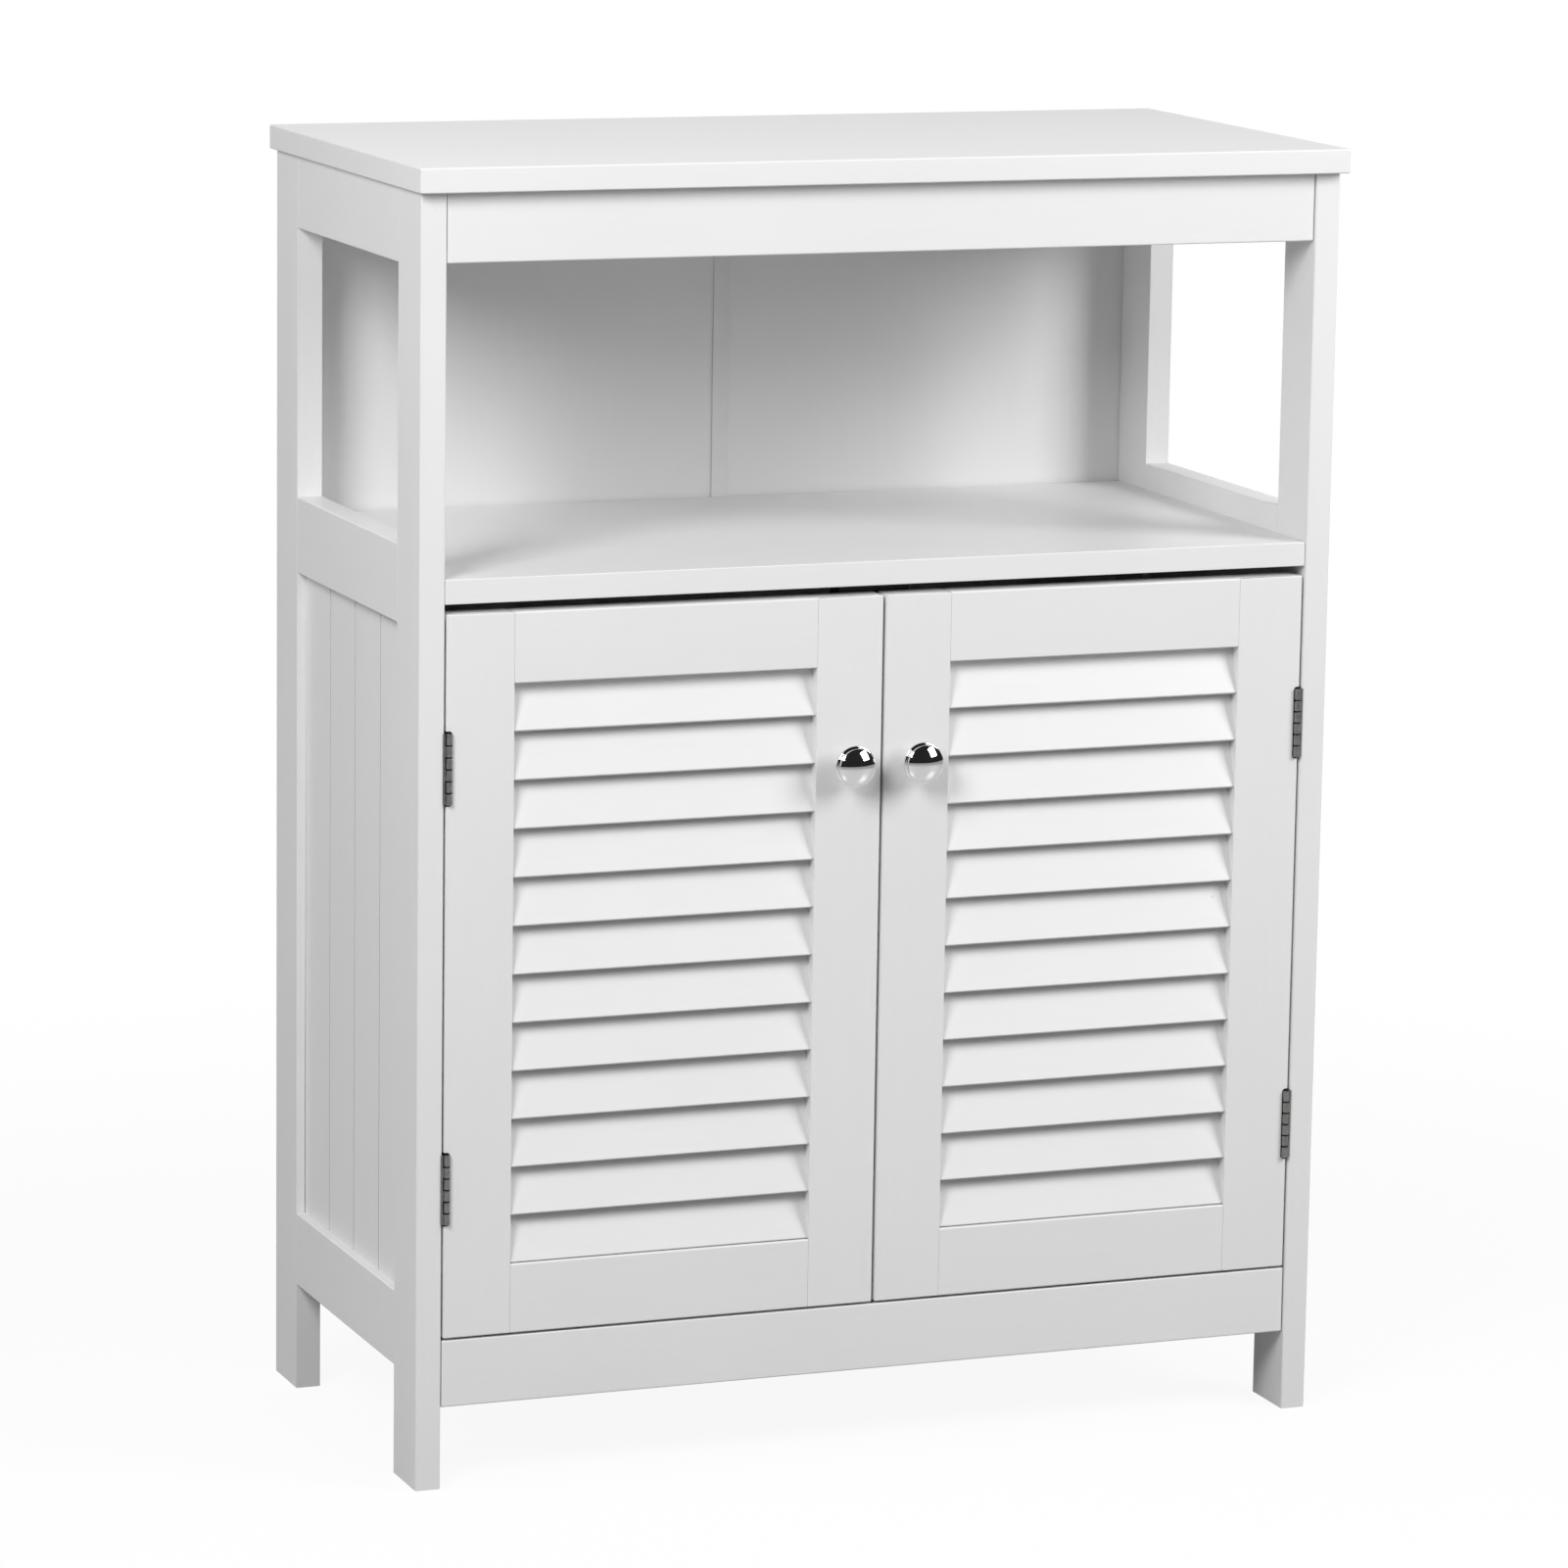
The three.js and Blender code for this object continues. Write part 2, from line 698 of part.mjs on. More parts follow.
function addStiles(group, side) {
  const slots = louvrePack(jointGap);
  const outerEased = [false, true, true, false];
  const innerEased = [true, false, false, true];
  let hingeStile = solidOf(
    board(
      [openingOuterX, doorFaceY, doorBottomZ],
      [doorOuterX, doorBackY, doorTopZ],
      "z",
      outerEased,
    ),
  );
  for (const bottomZ of hingeBottoms) {
    hingeStile = hingeStile.subtract(hingeNotch(bottomZ)).subtract(stileMortise(bottomZ));
  }
  const meetingStile = solidOf(
    board(
      [doorInnerX, doorFaceY, doorBottomZ],
      [openingInnerX, doorBackY, doorTopZ],
      "z",
      innerEased,
    ),
  );
  const hole = bar(
    screwRadius + screwClearance,
    "y",
    doorFaceY - cutOverrun,
    doorBackY + cutOverrun,
    [knobX, 0, knobZ],
  );
  const hinged = geometryOf(hingeStile.subtract(slots));
  const meeting = geometryOf(meetingStile.subtract(slots).subtract(solidOf(hole)));
  addPiece(group, side + "_door_hinge_stile", hinged, paintedBoard());
  addPiece(group, side + "_door_meeting_stile", meeting, paintedBoard());
}

function addDoorRails(group, side) {
  const places = [
    ["top", openingTopZ, doorTopZ],
    ["bottom", doorBottomZ, openingBottomZ],
  ];
  for (const [place, lowZ, highZ] of places) {
    const rail = board(
      [openingInnerX + jointGap, doorFaceY, lowZ],
      [openingOuterX - jointGap, doorBackY, highZ],
      "x",
    );
    addPiece(group, side + "_door_" + place + "_rail", rail, paintedBoard());
  }
}

function addLouvrePack(group, side) {
  addPiece(group, side + "_louvre_pack", geometryOf(louvrePack(0)), paintedBoard());
}

// The knob: a small base, a neck and a head with a bead round it and a flat dome on its face, and a
// blind hole for its screw.
function addKnob(group, side) {
  const height = knobProjection - jointGap;
  const holeRadius = screwRadius + screwClearance;
  const holeDepth = screwReach + screwClearance;
  const points = [
    [0, holeDepth],
    [holeRadius, holeDepth],
    [holeRadius, 0],
    [knobBaseRadius, 0],
    [knobNeckRadius, knobBaseHeight],
    [knobNeckRadius, knobNeckEnd],
  ];
  const beadRadius = knobBeadThickness / 2;
  const faceRadius = knobRadius - beadRadius;
  for (let i = 0; i <= knobBeadSteps; i++) {
    const angle = (i / knobBeadSteps) * Math.PI - Math.PI / 2;
    points.push([
      faceRadius + beadRadius * Math.cos(angle),
      knobBeadHeight + beadRadius * Math.sin(angle),
    ]);
  }
  const domeRadius = (faceRadius ** 2 + knobDomeHeight ** 2) / (2 * knobDomeHeight);
  for (let i = 0; i <= knobDomeSteps; i++) {
    const angle = (1 - i / knobDomeSteps) * Math.asin(faceRadius / domeRadius);
    points.push([
      domeRadius * Math.sin(angle),
      height - domeRadius * (1 - Math.cos(angle)),
    ]);
  }
  const knob = turned(points, knobSegments).rotateX(Math.PI);
  addPiece(group, side + "_knob", knob.translate(knobX, doorFaceY - jointGap, knobZ), chrome());
}

function addKnobScrew(group, side) {
  const headTop = -jointGap - screwHeadHeight;
  const screw = turned(
    [
      [0, headTop],
      [screwHeadRadius - screwHeadHeight / 2, headTop],
      [screwHeadRadius, headTop + screwHeadHeight / 2],
      [screwHeadRadius, -jointGap],
      [screwRadius, -jointGap],
      [screwRadius, doorThickness + screwReach],
      [0, doorThickness + screwReach],
    ],
    roundSegments,
  ).rotateX(Math.PI);
  addPiece(group, side + "_knob_screw", screw.translate(knobX, doorBackY, knobZ), zincSteel());
}

// Hinges, for the right-hand half
const cabinetLeafX = [hingeGapX + leafGap / 2, hingeGapX + leafGap / 2 + leafThickness];
const doorLeafX = [hingeGapX - leafGap / 2 - leafThickness, hingeGapX - leafGap / 2];

// A leaf: a flat plate, a tab to each of its own knuckles, and every second knuckle from the first
// one, all bored for the pin.
function leafSolid(lowX, highX, tabX, firstKnuckle, bottomZ) {
  const clear = knuckleRadius + leafRelief;
  const offset = lowX - pinX;
  const reach = Math.sqrt(Math.max(0, clear * clear - offset * offset));
  const plateFrontY = pinY + reach;
  const tabBackY = pinY + Math.max(leafThickness, reach + leafRelief / 2);
  const topZ = bottomZ + hingeHeight;
  const solids = [solidOf(block([lowX, plateFrontY, bottomZ], [highX, pinY + leafDepth, topZ]))];
  const pitch = hingeHeight / knuckleCount;
  for (let i = firstKnuckle; i < knuckleCount; i += 2) {
    const lowZ = bottomZ + i * pitch + (i === 0 ? 0 : knuckleGap / 2);
    const highZ = bottomZ + (i + 1) * pitch - (i === knuckleCount - 1 ? 0 : knuckleGap / 2);
    const tab = block([tabX, pinY, lowZ], [highX, tabBackY, highZ]);
    solids.push(solidOf(bar(knuckleRadius, "z", lowZ, highZ, [pinX, pinY, 0])), solidOf(tab));
  }
  const bore = bar(
    pinRadius + pinClearance,
    "z",
    bottomZ - cutOverrun,
    topZ + cutOverrun,
    [pinX, pinY, 0],
  );
  return joined(solids).subtract(solidOf(bore));
}

function addCabinetLeaf(group, name, bottomZ) {
  const [lowX, highX] = cabinetLeafX;
  const leaf = leafSolid(lowX, highX, pinX + knuckleRadius / 2, 0, bottomZ);
  addPiece(group, name + "_cabinet_leaf", geometryOf(leaf), hingeSteel());
}

function addDoorLeaf(group, name, bottomZ) {
  const [lowX, highX] = doorLeafX;
  const leaf = leafSolid(lowX, highX, lowX, 1, bottomZ);
  addPiece(group, name + "_door_leaf", geometryOf(leaf), hingeSteel());
}

function addHingePin(group, name, bottomZ) {
  const topHeight = hingeHeight + jointGap;
  const pin = turned(
    [
      [0, -jointGap - pinHeadHeight],
      [pinHeadRadius - pinHeadHeight / 2, -jointGap - pinHeadHeight],
      [pinHeadRadius, -jointGap],
      [pinRadius, -jointGap],
      [pinRadius, topHeight],
      [pinHeadRadius, topHeight],
      [pinHeadRadius - pinHeadHeight / 2, topHeight + pinHeadHeight],
      [0, topHeight + pinHeadHeight],
    ],
    roundSegments,
  ).rotateX(Math.PI / 2);
  addPiece(group, name + "_pin", pin.translate(pinX, pinY, bottomZ), hingeSteel());
}

// One half of the cabinet: the left half is the right half mirrored.
function addHalf(cabinet, side, mirror) {
  const half = new THREE.Group();
  half.scale.x = mirror;
  cabinet.add(half);
  addLegs(half, side);
  addSideRails(half, side);
  addGroovedPanel(half, side);
  addBackSheet(half, side);
  addMagnet(half, side);
  addShelfPin(half, side + "_front_shelf_pin", frontPinY);
  addShelfPin(half, side + "_back_shelf_pin", backPinY);

  const door = new THREE.Group();
  door.position.set(pinX, pinY, doorBottomZ);
  half.add(door);
  addStiles(door, side);
  addDoorRails(door, side);
  addLouvrePack(door, side);
  addKnob(door, side);
  addKnobScrew(door, side);
  addStrikePlate(door, side);

  hingeBottoms.forEach((bottomZ, i) => {
    const name = side + (i === 0 ? "_lower_hinge" : "_upper_hinge");
    addCabinetLeaf(half, name, bottomZ);
    addHingePin(half, name, bottomZ);
    addDoorLeaf(door, name, bottomZ);
  });
}

const cabinet = new THREE.Group();
cabinet.name = "louvred_door_cabinet";
addTop(cabinet);
addFrontRails(cabinet);
addFixedBoards(cabinet);
addJoiningStrip(cabinet);
addCatchHousing(cabinet);
addLooseShelf(cabinet);
addHalf(cabinet, "left", -1);
addHalf(cabinet, "right", 1);

export default cabinet;
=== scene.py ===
# %% [markdown]
# A louvred door cabinet
#
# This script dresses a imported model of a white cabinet: an open compartment with side windows,
# and under it a cupboard with two louvred doors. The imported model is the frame. It says where
# every board is and how the doors turn, and each piece made here takes its place and its size
# from it, so nothing has to be fitted by eye.

import math

import bmesh
import bpy
from mathutils import Matrix, Vector


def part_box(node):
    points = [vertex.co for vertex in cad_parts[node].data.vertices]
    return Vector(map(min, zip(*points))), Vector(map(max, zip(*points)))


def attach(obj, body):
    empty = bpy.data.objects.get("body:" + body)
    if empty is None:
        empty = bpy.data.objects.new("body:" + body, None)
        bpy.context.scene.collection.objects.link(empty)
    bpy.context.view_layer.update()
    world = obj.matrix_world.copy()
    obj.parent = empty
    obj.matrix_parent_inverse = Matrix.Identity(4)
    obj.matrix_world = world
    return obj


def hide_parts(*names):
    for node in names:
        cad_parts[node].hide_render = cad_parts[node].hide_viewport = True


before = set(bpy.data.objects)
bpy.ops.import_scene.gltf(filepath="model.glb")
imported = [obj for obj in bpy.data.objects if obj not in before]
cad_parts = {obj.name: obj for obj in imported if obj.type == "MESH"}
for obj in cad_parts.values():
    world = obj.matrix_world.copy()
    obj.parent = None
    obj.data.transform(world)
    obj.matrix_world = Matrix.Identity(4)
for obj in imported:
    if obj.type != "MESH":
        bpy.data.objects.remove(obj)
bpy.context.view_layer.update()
MM = 0.001

# %% [markdown]
# ## Camera
#
# A camera could be placed by eye, but straight edges then never lie quite right. Here its place,
# its turn and its focal length came from a fit of the cabinet's corners to the picture, so the
# numbers are taken as they are. Azimuth turns the view round the cabinet, elevation looks down
# on it, and roll tilts the frame a little.

# %% Camera
PICTURE_SIDE = 1601  # pixels, both ways
FOCAL_PIXELS = 6835.9
SENSOR_WIDTH = 36.0  # millimetres
VIEW_AZIMUTH = math.radians(-21.473)
VIEW_ELEVATION = math.radians(10.543)
VIEW_ROLL = math.radians(0.861)
VIEW_PLACE = Vector((-1521.9, -3841.7, 1163.2)) * MM
FARTHEST_SEEN = 200  # metres


def camera_axes(azimuth, elevation, roll):
    """The camera's right, up and backward directions, as the columns of a matrix."""
    back = Vector(
        (
            math.sin(azimuth) * math.cos(elevation),
            -math.cos(azimuth) * math.cos(elevation),
            math.sin(elevation),
        )
    )
    level = (-back).cross(Vector((0, 0, 1))).normalized()
    upright = level.cross(-back)
    right = level * math.cos(roll) + upright * math.sin(roll)
    up = upright * math.cos(roll) - level * math.sin(roll)
    return Matrix((right, up, back)).transposed()


def add_camera():
    data = bpy.data.cameras.new("camera")
    data.sensor_width = SENSOR_WIDTH
    data.lens = FOCAL_PIXELS / PICTURE_SIDE * SENSOR_WIDTH
    data.clip_end = FARTHEST_SEEN
    camera = bpy.data.objects.new("camera", data)
    turn = camera_axes(VIEW_AZIMUTH, VIEW_ELEVATION, VIEW_ROLL).to_4x4()
    camera.matrix_world = Matrix.Translation(VIEW_PLACE) @ turn
    bpy.context.scene.collection.objects.link(camera)
    bpy.context.scene.camera = camera
    return camera


camera = add_camera()
print(f"lens: {camera.data.lens:.1f} mm")

# %% [markdown]
# ## Shader values
#
# A finish is a small program of nodes. Linking nodes by hand hides the sum that they do, so two
# small classes are used instead. `Flow` stands for a number on its way through the nodes, and
# Python's own plus, minus and times add the Math nodes. `Finish` makes any other node from its
# type, its settings and its inputs.

# %% Shader values
SPECK_CORE = 0.3  # share of a speck's radius that has its full strength


class Flow:
    """A number that flows through a finish, on which sums can be written."""

    def __init__(self, finish, socket):
        self.finish = finish
        self.socket = socket

    def math(self, operation, *values):
        settings = {"operation": operation}
        inputs = dict(enumerate(values))
        return self.finish.flow("ShaderNodeMath", settings, inputs)

    def __add__(self, other):
        return self.math("ADD", self, other)

    __radd__ = __add__

    def __sub__(self, other):
        return self.math("SUBTRACT", self, other)

    def __rsub__(self, other):
        return self.math("SUBTRACT", other, self)

    def __mul__(self, other):
        return self.math("MULTIPLY", self, other)

    __rmul__ = __mul__


class Finish:
    """A material made of nodes. The sockets of its main shader are set by name."""

    def __init__(self, name, **constants):
        self.material = bpy.data.materials.new(name)
        self.material.use_nodes = True
        self.start(self.material.node_tree, "Principled BSDF", constants)

    def start(self, tree, shader, constants):
        self.tree = tree
        self.shader = tree.nodes[shader]
        self.set(**constants)

    def put(self, socket, value):
        if isinstance(value, Flow):
            self.tree.links.new(value.socket, socket)
        else:
            socket.default_value = value

    def set(self, **values):
        for name, value in values.items():
            self.put(self.shader.inputs[name.replace("_", " ")], value)

    def node(self, kind, settings=None, inputs=None):
        made = self.tree.nodes.new(kind)
        for name, value in (settings or {}).items():
            setattr(made, name, value)
        for name, value in (inputs or {}).items():
            self.put(made.inputs[name], value)
        return made

    def flow(self, kind, settings=None, inputs=None, output=0):
        return Flow(self, self.node(kind, settings, inputs).outputs[output])

    def places(self, stretch=(1, 1, 1), shift=(0, 0, 0)):
        """The piece's own coordinates in metres, stretched and shifted."""
        own = self.flow("ShaderNodeTexCoord", output="Object")
        return self.flow(
            "ShaderNodeMapping",
            {"vector_type": "POINT"},
            {"Vector": own, "Scale": stretch, "Location": shift},
        )

    def clouds(self, where, scale, detail=2.0, roughness=0.5):
        """Soft noise from 0 to 1."""
        return self.flow(
            "ShaderNodeTexNoise",
            {"noise_dimensions": "3D"},
            {"Vector": where, "Scale": scale, "Detail": detail, "Roughness": roughness},
            output="Fac",
        )

    def spread(self, value, taken, given=(0.0, 1.0), curve="LINEAR"):
        """Turns a range of a flowing value into another range, and stops at its ends."""
        inputs = {"Value": value, 1: taken[0], 2: taken[1], 3: given[0], 4: given[1]}
        return self.flow("ShaderNodeMapRange", {"interpolation_type": curve}, inputs)

    def cells(self, where, scale):
        """A pattern of round cells: each point's distance to a centre, and the cell's colour."""
        inputs = {"Vector": where, "Scale": scale}
        outputs = self.node("ShaderNodeTexVoronoi", {"feature": "F1"}, inputs).outputs
        return Flow(self, outputs["Distance"]), Flow(self, outputs["Color"])

    def specks(self, where, scale, size, share):
        """1 on a few small round specks, and 0 elsewhere: one cell in a few has a speck."""
        distance, colour = self.cells(where, scale)
        near = self.spread(distance, (size, size * SPECK_CORE), curve="SMOOTHSTEP")
        pick = self.flow("ShaderNodeSeparateColor", inputs={0: colour})
        return near * pick.math("LESS_THAN", pick, share)

    def blend(self, factor, first, second):
        """Mixes two colours by a flowing factor."""
        return self.flow(
            "ShaderNodeMix",
            {"data_type": "RGBA"},
            {0: factor, 6: (*first, 1) if isinstance(first, tuple) else first, 7: (*second, 1)},
            output=2,
        )

    def bump(self, height, distance, strength=1.0, below=None):
        """Raises the surface by a flowing height of 0 to 1 times a distance in metres."""
        inputs = {"Height": height, "Distance": distance, "Strength": strength}
        if below is not None:
            inputs["Normal"] = below
        return self.flow("ShaderNodeBump", None, inputs)


print("shader helpers ready")

# %% [markdown]
# ## White paint
#
# The boards are smooth pressed board under a sprayed satin paint. From a step away it is plain
# white, but it isn't one flat colour. The coat is a little thicker here and thinner there, its
# skin has a very fine orange peel, a roller leaves faint long strokes in the board's direction,
# and a few dust specks sit in it. An image could hold all of that, but it would stretch at the
# board's edges, so noise in the piece's own coordinates is used. Each direction of grain has a
# finish of its own, because the strokes run along the board.
#
# The notches and mortises routed for the hinges get painted shade: the faces inside them carry
# a face attribute, and where it is 1 a near-black brown is painted in for the shade there.

# %% White paint
GRAIN_STRETCH = {"x": (0.06, 1, 1), "y": (1, 0.06, 1), "z": (1, 1, 0.06)}
# Painted shade: a near-black brown, painted into the hinge notches and the grooves as their shade.
HOLLOW_SHADE_COLOUR = (0.052, 0.038, 0.026)


def painted(name, grain, white=0.815, shift=0.0, strokes=0.5, gloss=0.4):
    """Satin paint whose strokes run along one axis, and painted shade in marked hollows."""
    finish = Finish(name, IOR=1.46)
    where = finish.places(shift=(shift, shift * 0.7, shift * 1.3))
    along = finish.places(stretch=GRAIN_STRETCH[grain], shift=(shift, shift, shift))
    patches = finish.clouds(where, scale=7.0, detail=3.0)
    stroke = finish.clouds(along, scale=260.0, detail=3.0, roughness=0.6)
    fine = finish.clouds(where, scale=900.0, detail=1.0)
    dust = finish.specks(where, scale=38.0, size=0.045, share=0.035)
    shade = finish.spread(patches * 0.65 + stroke * 0.35, (0.3, 0.7))
    light = (white * 1.012, white * 1.012, white * 1.010)
    dark = (white * 0.975, white * 0.977, white * 0.978)
    coat = finish.blend(shade, dark, light)
    coat = finish.blend(dust * 0.4, coat, (0.42, 0.41, 0.40))
    # Painted shade: a face attribute blends in the near-black brown where hollows lie in shade.
    hollow_shade = finish.flow("ShaderNodeAttribute", {"attribute_name": "hollow_shade"}, output="Fac")
    coat = finish.blend(hollow_shade, coat, HOLLOW_SHADE_COLOUR)
    peel = fine * 0.55 + stroke * strokes * 0.45
    finish.set(
        Base_Color=coat,
        Roughness=gloss - 0.04 + patches * 0.06 + fine * 0.03 + hollow_shade * 0.4,
        Normal=finish.bump(peel, distance=0.00006, strength=0.35),
    )
    return finish.material


paint = {
    "x": painted("white_paint_x", "x"),
    "y": painted("white_paint_y", "y", shift=0.37),
    "z": painted("white_paint_z", "z", shift=0.71),
}
slat_paint = painted("white_slat_paint", "x", shift=1.3, strokes=0.8)
sheet_paint = painted("white_sheet_paint", "z", white=0.79, shift=2.1, strokes=1.0, gloss=0.5)
print("paints:", ", ".join(m.name for m in (*paint.values(), slat_paint, sheet_paint)))

# %% [markdown]
# ## Metals and plastic
#
# The knobs are polished chrome, so their look is mostly what they mirror. A little unevenness in
# the roughness, like a wiped finger mark, keeps them from looking computed. The hinges are
# a dull dark nickel with fine scratches round the barrel. Their pins are the same metal painted
# nearly black, as painted shade in the gaps between the knuckles, and the small hidden fittings
# are zinc plated with the cloudy crystals that zinc has. The strip at the back is smooth white
# plastic, and the catch is nearly black.


# %% Metals and plastic
def polished_chrome():
    finish = Finish("polished_chrome", Metallic=1.0)
    where = finish.places()
    marks = finish.clouds(where, scale=120.0, detail=4.0, roughness=0.65)
    tint = finish.blend(marks, (0.80, 0.80, 0.81), (0.88, 0.88, 0.885))
    finish.set(Base_Color=tint, Roughness=finish.spread(marks, (0.45, 0.8), (0.03, 0.13)))
    return finish.material


def dark_nickel(name, dark, light):
    finish = Finish(name, Metallic=1.0)
    where = finish.places()
    rings = finish.places(stretch=(1, 1, 14))
    dull = finish.clouds(where, scale=420.0, detail=4.0)
    scratches = finish.clouds(rings, scale=700.0, detail=2.0, roughness=0.7)
    tint = finish.blend(dull, dark, light)
    finish.set(
        Base_Color=tint,
        Roughness=0.26 + dull * 0.2 + scratches * 0.1,
        Normal=finish.bump(scratches, distance=0.00004, strength=0.4),
    )
    return finish.material


def zinc_plate():
    finish = Finish("zinc_plate", Metallic=1.0)
    where = finish.places()
    crystals = finish.cells(where, scale=900.0)[0]
    cloud = finish.clouds(where, scale=300.0, detail=3.0)
    tint = finish.blend(crystals * 0.5 + cloud * 0.5, (0.45, 0.46, 0.47), (0.70, 0.71, 0.72))
    finish.set(Base_Color=tint, Roughness=0.27 + cloud * 0.2)
    return finish.material


def smooth_plastic(name, dark, light):
    finish = Finish(name, IOR=1.5)
    where = finish.places()
    cloud = finish.clouds(where, scale=60.0, detail=3.0)
    grain = finish.clouds(where, scale=1500.0, detail=1.0)
    tint = finish.blend(cloud, dark, light)
    finish.set(
        Base_Color=tint,
        Roughness=0.34 + cloud * 0.1,
        Normal=finish.bump(grain, distance=0.00003, strength=0.3),
    )
    return finish.material


chrome = polished_chrome()
nickel = dark_nickel("dark_nickel", (0.16, 0.16, 0.157), (0.40, 0.395, 0.385))
# Painted shade: the pins are the same nickel made nearly black, for the gaps between knuckles.
pin_steel_painted_dark = dark_nickel("oiled_steel", (0.02, 0.019, 0.018), (0.06, 0.058, 0.055))
zinc = zinc_plate()
white_plastic = smooth_plastic("white_plastic", (0.74, 0.74, 0.735), (0.79, 0.79, 0.785))
dark_plastic = smooth_plastic("dark_plastic", (0.018, 0.017, 0.016), (0.03, 0.029, 0.028))
smooth = (chrome, nickel, pin_steel_painted_dark, zinc, white_plastic, dark_plastic)
print("metals and plastics:", ", ".join(material.name for material in smooth))

# %% [markdown]
# ## Making pieces
#
# A board starts as a cube that is stretched to its box. Its long edges are eased with a bevel of
# three steps, as sandpaper and paint leave them, and its ends are nearly square where they butt
# against a neighbour. Edges that are too sharp are what gives a computed picture away, because
# a real one always catches a thin line of light.
#
# Slots, mortises and holes are cut with Blender's exact boolean. A bevel made after a cut often
# tears at the corners, so the edges are eased first and the cuts come last.
#
# Large flat faces beside small bevels shade badly when they are simply smoothed, so each piece
# gets a Weighted Normal modifier, which lets the large faces rule.

# %% Making pieces
AXES = {"x": 0, "y": 1, "z": 2}
SMOOTH_ANGLE = math.radians(38)
STRAIGHT = 0.999  # share of an edge's length that lies along the axis it follows
TINY = 1e-6


def box_mesh(low, high):
    """A mesh of a box between two corners."""
    low, high = Vector(low), Vector(high)
    mesh = bmesh.new()
    stretch = Matrix.Diagonal((*(high - low), 1))
    bmesh.ops.create_cube(mesh, size=1, matrix=Matrix.Translation((low + high) / 2) @ stretch)
    return mesh


def rod_mesh(radius, axis, start, end, steps=32, end_radius=None):
    """A mesh of a round rod, or of a cone, along an axis from one point to another."""
    start, end = Vector(start), Vector(end)
    mesh = bmesh.new()
    turn = {"x": Matrix.Rotation(math.pi / 2, 4, "Y"), "y": Matrix.Rotation(-math.pi / 2, 4, "X")}
    place = Matrix.Translation((start + end) / 2) @ turn.get(axis, Matrix.Identity(4))
    bmesh.ops.create_cone(
        mesh,
        cap_ends=True,
        segments=steps,
        radius1=radius,
        radius2=radius if end_radius is None else end_radius,
        depth=(end - start).length,
        matrix=place,
    )
    return mesh


def ease(mesh, edges, width, steps=3):
    """Rounds edges."""
    bmesh.ops.bevel(
        mesh,
        geom=edges,
        offset=width,
        offset_type="OFFSET",
        segments=steps,
        profile=0.5,
        affect="EDGES",
        material=-1,
    )


def edges_along(mesh, axis):
    found = []
    for edge in mesh.edges:
        span = edge.verts[1].co - edge.verts[0].co
        if abs(span[axis]) > STRAIGHT * span.length:
            found.append(edge)
    return found


def edges_at(mesh, axis, place):
    """The edges that lie in the plane where one coordinate has a value."""
    return [e for e in mesh.edges if all(abs(v.co[axis] - place) < TINY for v in e.verts)]


def middle(edge):
    return (edge.verts[0].co + edge.verts[1].co) / 2


def temporary(mesh):
    data = bpy.data.meshes.new("temporary")
    mesh.to_mesh(data)
    mesh.free()
    made = bpy.data.objects.new("temporary", data)
    bpy.context.scene.collection.objects.link(made)
    return made


def combined(mesh, tools, operation="DIFFERENCE"):
    """Cuts tools out of a mesh, or joins them to it, and returns the new mesh."""
    body = temporary(mesh)
    others = [temporary(tool) for tool in tools]
    for other in others:
        modifier = body.modifiers.new("combine", "BOOLEAN")
        modifier.operation = operation
        modifier.solver = "EXACT"
        modifier.object = other
    made = bpy.data.meshes.new_from_object(
        body.evaluated_get(bpy.context.evaluated_depsgraph_get())
    )
    result = bmesh.new()
    result.from_mesh(made)
    for used in (body, *others):
        data = used.data
        bpy.data.objects.remove(used)
        bpy.data.meshes.remove(data)
    bpy.data.meshes.remove(made)
    return result


pieces = []


def piece(mesh, name, body, nodes, material):
    """Turns a mesh into a finished piece that rides on a body and stands for CAD nodes."""
    bmesh.ops.recalc_face_normals(mesh, faces=mesh.faces)
    data = bpy.data.meshes.new(name)
    mesh.to_mesh(data)
    mesh.free()
    data.materials.append(material)
    data.shade_smooth()
    data.set_sharp_from_angle(angle=SMOOTH_ANGLE)
    made = bpy.data.objects.new(name, data)
    bpy.context.scene.collection.objects.link(made)
    modifier = made.modifiers.new("even_normals", "WEIGHTED_NORMAL")
    modifier.keep_sharp = True
    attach(made, body)
    if nodes:
        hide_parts(*nodes)
    pieces.append(made)
    return made


def grown(node, amount):
    """A node's box as a cutter, grown on all sides."""
    low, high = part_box(node)
    by = Vector((amount, amount, amount))
    return box_mesh(Vector(low) - by, Vector(high) + by)


print("mesh helpers ready")

# %% [markdown]
# ## Boards
#
# Every plain board is made by one function. It takes its box from the CAD node that it stands
# for. `crisp` picks the long edges that stay nearly square, such as the inner edge of a door
# stile, and `cuts` are the slots and holes. Where a rail meets a leg, the eye looks for the dark
# hairline of the joint, so the rails are a fraction of a millimetre short.

# %% Boards
EDGE_EASE = 1.0 * MM
CRISP_EASE = 0.22 * MM
END_EASE = 0.2 * MM
SHELF_EASE = 0.6 * MM
SQUARE_ANGLE = 1.4  # radians; the faces at a square corner meet at more than this
JOINT_LINES = {"front_top_rail": 0.5 * MM, "front_bottom_rail": 0.8 * MM}
SHELF_JOINT = 0.15 * MM


